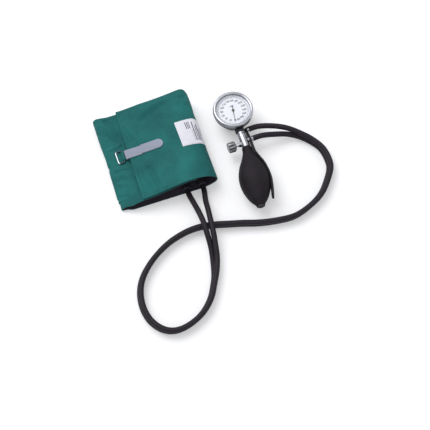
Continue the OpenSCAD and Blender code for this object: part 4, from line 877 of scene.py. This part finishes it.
# a pad the length of the cuff: a patch of a surface, from the pads' left edge to a width on from there
def padOn(name, p, width, cols, out, body, node, first=0):
    ends = [columnAt(p, pads["left"] + d, first) for d in (0.0, width)]
    grid = patchOf(p, padRows, ends, 100, cols, out)
    piece = cloth(name, grid, pads["thick"], clothUv(grid))
    finish(piece, padCloth, body, [node])


underFlap = cuff["cloth"] + cuff["lining"] + pads["hookGap"]
padOn("hook_pad_cloth", flapSurface, pads["hookLen"], 18, -underFlap, "flap", "hook_pad")
padOn("loop_pad_cloth", baseSurface, pads["loopLen"], 28, pads["thick"] + pads["loopGap"], rootBody,
      "loop_pad", leftmost)

# bladder: a slack flat bag whose thickness is a rounded step in from each edge, on the cuff's bottom; slack
# is a noise on its top as (height, size of its cells, seed)
bag = {"x0": -68.25, "x1": 7.75, "inset": 10.0, "thick": 2.6, "round": 6.0, "floor": 1.25, "edge": 0.18,
       "seam": 0.2, "slack": (0.12, 14, 21), "most": 0.1, "rows": 70, "cols": 84, "portY": -31.6,
       "portStart": 2.0}
s, t = np.meshgrid(np.linspace(0, 1, bag["rows"]), np.linspace(0, 1, bag["cols"]), indexing="ij")
bagX = bag["x0"] + (bag["x1"] - bag["x0"]) * t
bagY = cuffLow[1] + bag["inset"] + (clothLength - 2 * bag["inset"]) * s
edgeGap = np.minimum(np.minimum(bagX - bag["x0"], bag["x1"] - bagX),
                     np.minimum(bagY - bagY.min(), bagY.max() - bagY))
slack, cell, seed = bag["slack"]
puff = np.sqrt(1 - (1 - np.clip(edgeGap / bag["round"], 0, 1)) ** 2)
bagTop = (bag["floor"] + bag["thick"] * (bag["edge"] + (1 - bag["edge"]) * puff)
          + slack * softNoise(bagX, bagY, cell, seed) * puff)
bagTop = np.minimum(bagTop, bag["floor"] + bag["thick"] + bag["most"])
bagBottom = bag["floor"] + bag["seam"] * bag["thick"] * (1 - puff)
bagQuads = gridFaces(bag["rows"], bag["cols"])
bagVerts, bagFaces = merged([(np.stack([bagX, bagY, bagTop], -1), bagQuads),
                             (np.stack([bagX, bagY, bagBottom], -1), bagQuads[:, ::-1])])
edge = rimOf(bag["rows"], bag["cols"])
after = np.roll(edge, -1)
bagFaces += np.stack([edge, edge + bagX.size, after + bagX.size, after], 1).tolist()
bagUv = np.stack([bagX, bagY], -1).reshape(-1, 2)
bagPiece = meshObject("bladder_bag", bagVerts, bagFaces, np.vstack([bagUv, bagUv]))
finish(bagPiece, bladderRubber, rootBody, ["bladder"])
portProfile = [(3.4, 0.0), (3.4, -1.5), (3.9, -2.2), (4.5, -2.0), (4.6, -1.2), (4.6, 0.2), (4.3, 0.9),
               (4.3, 12.5), (4.6, 13.4), (4.6, 14.6)]
for side, portX in (("left", hose["port1"]), ("right", hose["port2"])):
    port = turned("bladder_port_" + side, [(r, d + bag["portStart"]) for r, d in portProfile],
                  (portX, bag["portY"], hose["portZ"]), (0, 1, 0), 40)
    finish(port, bladderRubber, rootBody)


# stitches: short round bars laid end to end along a line, each thinner towards its ends by the root of
# 1 - taper a^2, and sunk there into the cloth by sink a^2, where a runs from -1 to 1 along it
stitchSet = {"taper": 0.8, "sink": 0.16, "stand": 0.06, "rings": 5, "sides": 6}


def stitchRow(line, normals):
    rings, sides = stitchSet["rings"], stitchSet["sides"]
    pitch = cuff["stitch"] + cuff["stitchGap"]
    run = runOf(line)
    at = np.arange(pitch / 2, run[-1] - pitch / 4, pitch)
    pick = lambda q, w: np.stack([np.interp(w, run, q[:, k]) for k in range(3)], -1)
    middle, way = pick(line, at), unit(pick(line, at + 0.4) - pick(line, at - 0.4))
    up = unit(pick(normals, at))
    side = unit(np.cross(up, way))
    a = np.linspace(-1, 1, rings)[:, None]
    radius = cuff["threadRadius"] * np.sqrt(1 - stitchSet["taper"] * a**2)
    turn = np.linspace(0, 2 * np.pi, sides, endpoint=False)
    along = (a * cuff["stitch"] / 2)[None, ..., None]
    height = (stitchSet["stand"] - stitchSet["sink"] * a**2 + radius * np.sin(turn))[None, ..., None]
    aside = (radius * np.cos(turn))[None, ..., None]
    body = (middle[:, None, None] + way[:, None, None] * along + up[:, None, None] * height
            + side[:, None, None] * aside)
    last = (rings - 1) * sides
    caps = [np.array([[0, 5, 4, 3], [0, 3, 2, 1]]), last + np.array([[0, 1, 2, 3], [0, 3, 4, 5]])]
    one = np.vstack([gridFaces(rings, sides, colsClosed=True)] + caps)
    return body.reshape(-1, 3), (np.arange(len(at))[:, None, None] * rings * sides + one).reshape(-1, 4)


# a stitched line on a surface, between two points given as (row, column) fractions
def seamOn(p, start, end):
    t = np.linspace(0, 1, 400)
    r, c = start[0] + (end[0] - start[0]) * t, start[1] + (end[1] - start[1]) * t
    return stitchRow(sampleGrid(p, r, c), sampleGrid(gridNormals(p), r, c))


hemRow = cuff["hem"] / clothLength
farRow = 1 - hemRow
flapHemCol = columnAt(flapSurface, flapSurface[cuff["rows"] // 2, 0, 0] + cuff["hem"])
seams = {
    "flap_stitches": (None, flapSurface, [((hemRow, 0.02), (hemRow, 0.97)), ((farRow, 0.02), (farRow, 0.9)),
                                          ((hemRow, flapHemCol), (farRow, flapHemCol))]),
    "base_stitches": (rootBody, baseSurface, [((hemRow, 0.02), (hemRow, 0.99)),
                                              ((farRow, 0.12), (farRow, 0.99))]),
    "label_stitches": (None, labelGrid, [((0.03, 0.04), (0.97, 0.04)), ((0.03, 0.04), (0.03, 0.97)),
                                         ((0.97, 0.04), (0.97, 0.97))])}
for name, (body, surface, lines) in seams.items():
    verts, faces = merged([seamOn(surface, *ends) for ends in lines])
    piece = meshObject(name, verts, faces, verts[:, :2])
    onLabel = name == "label_stitches"
    finish(piece, whiteThread if onLabel else thread, body)
    if body is None:
        rideFlap(piece)
print("cuff sewn")

# the pieces that keep their CAD shape, by the material each one takes
dressing = [
    (caseBlack, "gauge_case"), (bezelChrome, "bezel"), (lensClear, "lens"), (paleGasket, "lens_gasket"),
    (dialPaint, "dial_ring dial_plate"), (bluedSteel, "hairspring"), (pointerBlack, "pointer"),
    (brass, "movement_rear_plate movement_front_plate movement_pillars pinion sector_gear capsule"),
    (brass, "pressure_tube gauge_stem"), (gasket, "neck_washer"), (seatRubber, "valve_seat inlet_valve"),
    (steel, "movement_screws rocker_shaft capsule_pin check_ball valve_needle"), (ringSteelPaintedShade, "steel_ring"),
    (chrome, "valve_body packing_nut bulb_hose_nipple gauge_hose_nipple"), (discRubber, "inlet_disc")]
for material, names in dressing:
    for name in names.split():
        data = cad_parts[name].data
        if not data.materials:
            data.materials.append(material)
        for k in range(len(data.materials)):
            data.materials[k] = material

# dial print: values run clockwise from the zero, sweep degrees for the whole scale; a tick is (which values
# it marks, where it starts, half its width), the longest first
dial = {"top": 25.57, "thick": 0.025, "sunk": 0.01, "full": 300, "sweep": 342.0, "zero": -99.0,
        "numberRadius": 13.4, "numberSize": 3.3, "bold": 0.09, "tickOut": 18.3, "tickMiddle": 17.5,
        "ringWidth": 0.16, "unitSize": 1.7, "unitUp": 6.2}
ticks = [(20, 16.4, 0.16), (10, 16.9, 0.11), (2, 17.4, 0.07)]


# the angle of a value, in radians: zero - value / full * sweep
def dialAngle(value):
    return math.radians(dial["zero"] - value / dial["full"] * dial["sweep"])


# ticks and the ring round them: each a thin block between two radii and two angles, sunk a little into the
# dial
def arcBlock(r0, r1, a0, a1, steps=2):
    a = np.linspace(a0, a1, steps)
    ring = lambda r, z: np.stack([headX + r * np.cos(a), gaugeY + r * np.sin(a), np.full(steps, z)], -1)
    low, high = dial["top"] - dial["sunk"], dial["top"] + dial["thick"]
    loop = np.stack([ring(r0, low), ring(r0, high), ring(r1, high), ring(r1, low)], 1)
    caps = [[0, 1, 2, 3], [4 * steps - 1, 4 * steps - 2, 4 * steps - 3, 4 * steps - 4]]
    return loop.reshape(-1, 3), gridFaces(steps, 4, colsClosed=True).tolist() + caps


parts = []
for value in range(0, dial["full"] + 1, 2):
    inner, halfWidth = next((r, half) for step, r, half in ticks if value % step == 0)
    a = dialAngle(value)
    turn = halfWidth / dial["tickMiddle"]
    parts.append(arcBlock(inner, dial["tickOut"], a - turn, a + turn))
parts.append(arcBlock(dial["tickOut"], dial["tickOut"] + dial["ringWidth"], dialAngle(0),
                      dialAngle(dial["full"]), 180))
verts, faces = merged(parts)
finish(meshObject("dial_ticks", verts, faces), tickInk, rootBody)


# text as points and faces, lying on the dial and centred on a point of it
def printedText(name, text, x, y, size):
    curve = bpy.data.curves.new(name, "FONT")
    curve.body = text
    curve.size = size * mm
    curve.align_x = "CENTER"
    curve.align_y = "CENTER"
    curve.extrude = dial["thick"] * mm / 2
    curve.offset = dial["bold"] * mm
    curve.resolution_u = 3
    obj = bpy.data.objects.new(name, curve)
    bpy.context.collection.objects.link(obj)
    bpy.context.view_layer.update()
    mesh = bpy.data.meshes.new_from_object(obj.evaluated_get(bpy.context.evaluated_depsgraph_get()))
    bpy.data.objects.remove(obj)
    points = np.zeros(len(mesh.vertices) * 3)
    mesh.vertices.foreach_get("co", points)
    points = points.reshape(-1, 3) / mm
    points += (x, y, dial["top"] + dial["thick"] / 2)
    faces = [list(p.vertices) for p in mesh.polygons]
    bpy.data.meshes.remove(mesh)
    return points, faces


parts = []
r = dial["numberRadius"]
for value in range(0, dial["full"] + 1, 20):
    a = dialAngle(value)
    parts.append(printedText("number", str(value), headX + r * math.cos(a), gaugeY + r * math.sin(a),
                             dial["numberSize"]))
parts.append(printedText("unit", "mmHg", headX, gaugeY + dial["unitUp"], dial["unitSize"]))
verts, faces = merged(parts)
finish(meshObject("dial_numbers", verts, faces), dialInk, rootBody)
print("dial printed")

# bulb: its belly is given as (radius, share of its length)
bulb = {"start": (headX - 0.106, -8.697, axisZ), "bend": 7.6, "length": 77.0, "seam": 0.13,
        "seamWide": 0.35, "seamFrom": (2, 4), "seamTo": (3, 4),
        "belly": [(6.3, 0.09), (9.5, 0.195), (15, 0.35), (18, 0.532), (16.4, 0.714), (11.5, 0.87)]}
bend = math.radians(bulb["bend"])
bulbAlong = np.array([-math.sin(bend), -math.cos(bend), 0.0])
bulbLong = bulb["length"]
belly = [(r, share * bulbLong) for r, share in bulb["belly"]]
tailEnd = [(r, bulbLong - d) for r, d in ((5.5, 1.2), (5.3, 0.7), (5.0, 0.55), (4.6, 0.75), (4.4, 4.0))]
bulbProfile = np.vstack([[(3.2, 3.0), (5.15, 1.2), (5.2, 0.3), (5.45, 0.05), (5.75, 0.1)],
                         smoothLine([(5.9, 0.5)] + belly + [(5.8, bulbLong - 2.2)], 12), tailEnd])


# mould seam: a low ridge with a bell section along both sides of the bulb
def bulbSeam(r, a, d):
    ridge = bell(np.sin(a) * r, 0, bulb["seamWide"])
    return r + bulb["seam"] * ridge * rise(d, *bulb["seamFrom"]) * rise(bulbLong - d, *bulb["seamTo"])


bulbPiece = turned("squeeze_bulb", bulbProfile, bulb["start"], bulbAlong, 200, bulbSeam)
finish(bulbPiece, bulbRubber, rootBody, ["bulb"])

# knob: turned from its outer end inwards, with a bore for the needle
knobLow, knobHigh = nodeBox("thumb_knob")
knob = {"radius": 6.5, "flutes": 9, "fluteRadius": 1.5, "fluteOut": 0.7, "fluteDeep": 1.6, "bore": 1.6,
        "fluteShadeTint": (0.16, 0.16, 0.17), "tintFrom": -0.1, "tintTo": 0.6, "gripShare": 0.52}
knobAt = (knobHigh[0], (knobLow[1] + knobHigh[1]) / 2, (knobLow[2] + knobHigh[2]) / 2)
knobLong = knobHigh[0] - knobLow[0]
boreDepth = knobHigh[0] - nodeBox("valve_needle")[0][0]
outerEnd = [(1.8, 0), (1.55, 0.12), (0.75, 1.0), (0.55, 1.2), (0.2, 1.42), (0, 1.75)]
innerEnd = [(0, 1.15), (0.15, 0.85), (0.65, 0.3), (1.0, 0.12), (1.4, 0.05), (2.3, 0.1), (2.5, 0.25),
            (2.9, 0.35)]
knobProfile = np.array([(0.3, boreDepth), (knob["bore"], boreDepth), (knob["bore"], 0.15), (1.8, 0)]
                       + [(knob["radius"] - inset, d) for inset, d in outerEnd]
                       + [(knob["radius"] - inset, knobLong - d) for inset, d in innerEnd]
                       + [(0.3, knobLong - 0.4)])


# flutes: round scoops cut along the grip, evenly spaced round it; each is a circle outside the grip, and
# where it is cut the radius is centre cos(off) - sqrt(fluteRadius^2 - (centre sin(off))^2)
def knobFlutes(r, a, d):
    turn = (a * knob["flutes"] / (2 * np.pi) + 0.5) % 1 - 0.5
    off = turn * 2 * np.pi / knob["flutes"]
    centre = knob["radius"] + knob["fluteOut"]
    inside = knob["fluteRadius"] ** 2 - (centre * np.sin(off)) ** 2
    scoop = centre * np.cos(off) - np.sqrt(np.maximum(inside, 0))
    return np.where((inside > 0) & (r > knob["radius"] - knob["fluteDeep"]), np.minimum(r, scoop), r)


knobPiece = turned("fluted_knob", knobProfile, knobAt, (-1, 0, 0), 180, knobFlutes, sharp=35)
# painted shade in the flutes, darker than the grip between them: the tint goes by the cosine round the knob,
# and only along the grip
gripFrom, gripTo = (float(d) * mm for d in runOf(knobProfile)[knobProfile[:, 0] == knob["radius"]])
knobTree = knobMetal.node_tree
onGrip = calc(knobTree, "COMPARE", axisOf(knobMetal, 0, "surface"), (gripFrom + gripTo) / 2,
              (gripTo - gripFrom) * knob["gripShare"])
flute = calc(knobTree, "COSINE", calc(knobTree, "MULTIPLY", axisOf(knobMetal, 1, "surface"),
                                      knob["flutes"] / (knob["radius"] * mm)))
tintBy(knobMetal, calc(knobTree, "MULTIPLY", flute, onGrip), knob["tintFrom"], knob["tintTo"],
       knob["fluteShadeTint"])
finish(knobPiece, knobMetal, "knob", ["thumb_knob"])

# finger plate: along a plan line beside the neck and the bulb, each cross section an arc in z, square to the
# line. A neck station is (distance from the nipple, half width, height) and a bulb station (share of reach,
# share of half width, curvature); the plan stands a gap off the bulb's side as far as the bulb's widest
# place, and past it comes in by the square of the way divided by tailCurve
plate = {"off": 6.5, "gap": 0.8, "thick": 2.0, "width": 15.0, "reach": 70.0, "round": 0.5,
         "neckCurve": 0.004, "widest": 18.0, "tailCurve": 240.0, "startY": 0.793, "startAlong": 0.8,
         "stations": 170}
neckStations = [(1.6, 2, 15), (1, 3, 15), (-0.2, 3.6, 15), (-3, 4, 15.6), (-7, 4.4, 16.6), (-11, 4.7, 17.5),
                (-15, 5, 18), (-20, 5.2, 18)]
bulbStations = [(0.04, 0.72, 0.016), (0.13, 0.8, 0.025), (0.24, 0.9, 0.035), (0.36, 0.98, 0.043),
                (0.5, 1, 0.05), (0.63, 0.98, 0.052), (0.74, 0.95, 0.055), (0.83, 0.9, 0.06),
                (0.9, 0.82, 0.06), (0.955, 0.68, 0.06), (0.985, 0.46, 0.06), (1, 0.12, 0.06)]
bulbSide = smoothLine([(5.9, 0)] + belly[:4], 8)
equator = belly[3][1]
stations = [(headX + plate["off"], hose["gaugeY"] + along, half, height, plate["neckCurve"])
            for along, half, height in neckStations]
acrossBulb = np.array([-bulbAlong[1], bulbAlong[0]])
bulbStart = np.array([headX, bulb["start"][1] + plate["startY"]])
for share, half, curve in bulbStations:
    s = share * plate["reach"]
    aside = (np.interp(s, bulbSide[:, 1], bulbSide[:, 0]) if s < equator
             else plate["widest"] - (s - equator)**2 / plate["tailCurve"])
    place = bulbStart + acrossBulb * (plate["gap"] + aside) + bulbAlong[:2] * (s + plate["startAlong"])
    stations.append((*place, half * plate["width"] / 2, axisZ, curve))
stations = evenLine(smoothLine(stations, 8), plate["stations"])
plan, half, height, curve = stations[:, :2], stations[:, 2:3], stations[:, 3:4], stations[:, 4:5]
way = unit(np.gradient(plan, axis=0))
outward = np.stack([-way[:, 1], way[:, 0]], 1)

# its section laid flat: round corners, with a straight run along the top and one along the bottom
quarter = np.linspace(0, np.pi / 2, 5)[None, :]
share = np.linspace(0, 1, 14)[None, 1:-1]
corner = np.minimum(plate["round"], half * 0.9)
sectionU, sectionV = [], []
for k, (sign, top) in enumerate(((1, True), (-1, True), (-1, False), (1, False))):
    angle = quarter + k * np.pi / 2
    sectionU.append(sign * (half - corner) + corner * np.cos(angle))
    sectionV.append((plate["thick"] - corner if top else corner) + corner * np.sin(angle))
    if top == (sign > 0):
        sectionU.append(sign * (half - corner) * (1 - 2 * share))
        sectionV.append((plate["thick"] if top else 0.0) + 0 * share * half)
sectionU, sectionV = np.hstack(sectionU), np.hstack(sectionV)

# then bent round an arc: an angle of sectionU * curve, at sectionV past the arc's radius
a = sectionU * curve
out = sectionV * np.cos(a) - (1 - np.cos(a)) / curve
up = (1 / curve + sectionV) * np.sin(a) + height
rings = np.stack([plan[:, :1] + outward[:, :1] * out, plan[:, 1:] + outward[:, 1:] * out, up], -1)
finish(skin("cupped_finger_plate", rings), plateBlack, rootBody, ["finger_plate"])

# cap over the pointer's hub: a low dome, its own profile turned about the arbor
capProfile = [(0.2, -0.1), (1.5, -0.1), (1.5, 0.12), (1.3, 0.3), (0.8, 0.4), (0.2, 0.43)]
cap = turned("pointer_hub_cap", capProfile, (headX, gaugeY, nodeBox("pointer")[1][2]), (0, 0, 1), 40)
finish(cap, pointerBlack, "pointer")
print("bulb, knob and finger plate made")

# floor, world and light
studio = {"floor": 6.0, "world": 0.66, "keyPlace": (-0.45, 0.85, 1.6), "keyAim": (0.02, -0.05, 0.0),
          "keySize": 1.3, "keyPower": 19.0, "floorTone": (0.772, 0.776, 0.8), "floorCloud": 0.02,
          "cloudScale": 1.5, "glow": 0.30, "horizon": 0.35, "skyFull": 0.7}


# 1 for rays that the camera, a reflection or glass sends, 0 for the rest
def seenRays(tree):
    path = addNode(tree, "ShaderNodeLightPath").outputs
    return calc(tree, "MAXIMUM", calc(tree, "MAXIMUM", path["Is Camera Ray"], path["Is Glossy Ray"]),
                path["Is Transmission Ray"])


white = (1, 1, 1, 1)
floorMaterial, tree, shader = newMaterial("pale_floor", Roughness=0.9, Specular_IOR_Level=0.0,
                                          Emission_Color=white)
place = addNode(tree, "ShaderNodeTexCoord").outputs["Object"]
cloud = addNode(tree, "ShaderNodeTexNoise", {"Vector": place, "Scale": studio["cloudScale"]}).outputs[0]
floorTones = [tuple(t + extra for t in studio["floorTone"]) + (1.0,)
              for extra in (0.0, studio["floorCloud"])]
linkAll(tree, shader.inputs, {"Base Color": mixColour(tree, cloud, *floorTones),
                              "Emission Strength": calc(tree, "MULTIPLY", seenRays(tree), studio["glow"])})
half = studio["floor"] / 2 / mm
floorCorners = [(-half, -half, 0), (half, -half, 0), (half, half, 0), (-half, half, 0)]
floorMesh = meshObject("floor", floorCorners, [[0, 1, 2, 3]])
floorMesh.data.materials.append(floorMaterial)

# the world lights plainly; the camera, reflections and glass see it white above and greyer towards the
# horizon
world = bpy.data.worlds.new("studio")
bpy.context.scene.world = world
world.use_nodes = True
tree = world.node_tree
sky = addNode(tree, "ShaderNodeTexCoord").outputs["Generated"]
up = addNode(tree, "ShaderNodeSeparateXYZ", {0: sky}).outputs["Z"]
bright = remap(tree, up, 0.0, studio["skyFull"], studio["horizon"], 1.0)
seen = seenRays(tree)
level = calc(tree, "ADD", calc(tree, "MULTIPLY", seen, bright),
             calc(tree, "MULTIPLY", calc(tree, "SUBTRACT", 1.0, seen), studio["world"]))
background = tree.nodes["Background"]
background.inputs["Color"].default_value = white
tree.links.new(level, background.inputs["Strength"])

lampData = bpy.data.lights.new("key", "AREA")
lampData.size = studio["keySize"]
lampData.energy = studio["keyPower"]
lamp = bpy.data.objects.new("key", lampData)
lamp.location = studio["keyPlace"]
aim = np.array(studio["keyAim"]) - studio["keyPlace"]
tilt = math.acos(-aim[2] / np.linalg.norm(aim))
lamp.rotation_euler = (tilt, 0.0, math.atan2(aim[1], aim[0]) - math.pi / 2)
bpy.context.collection.objects.link(lamp)
bpy.context.scene.view_settings.view_transform = "Standard"
print("studio set")
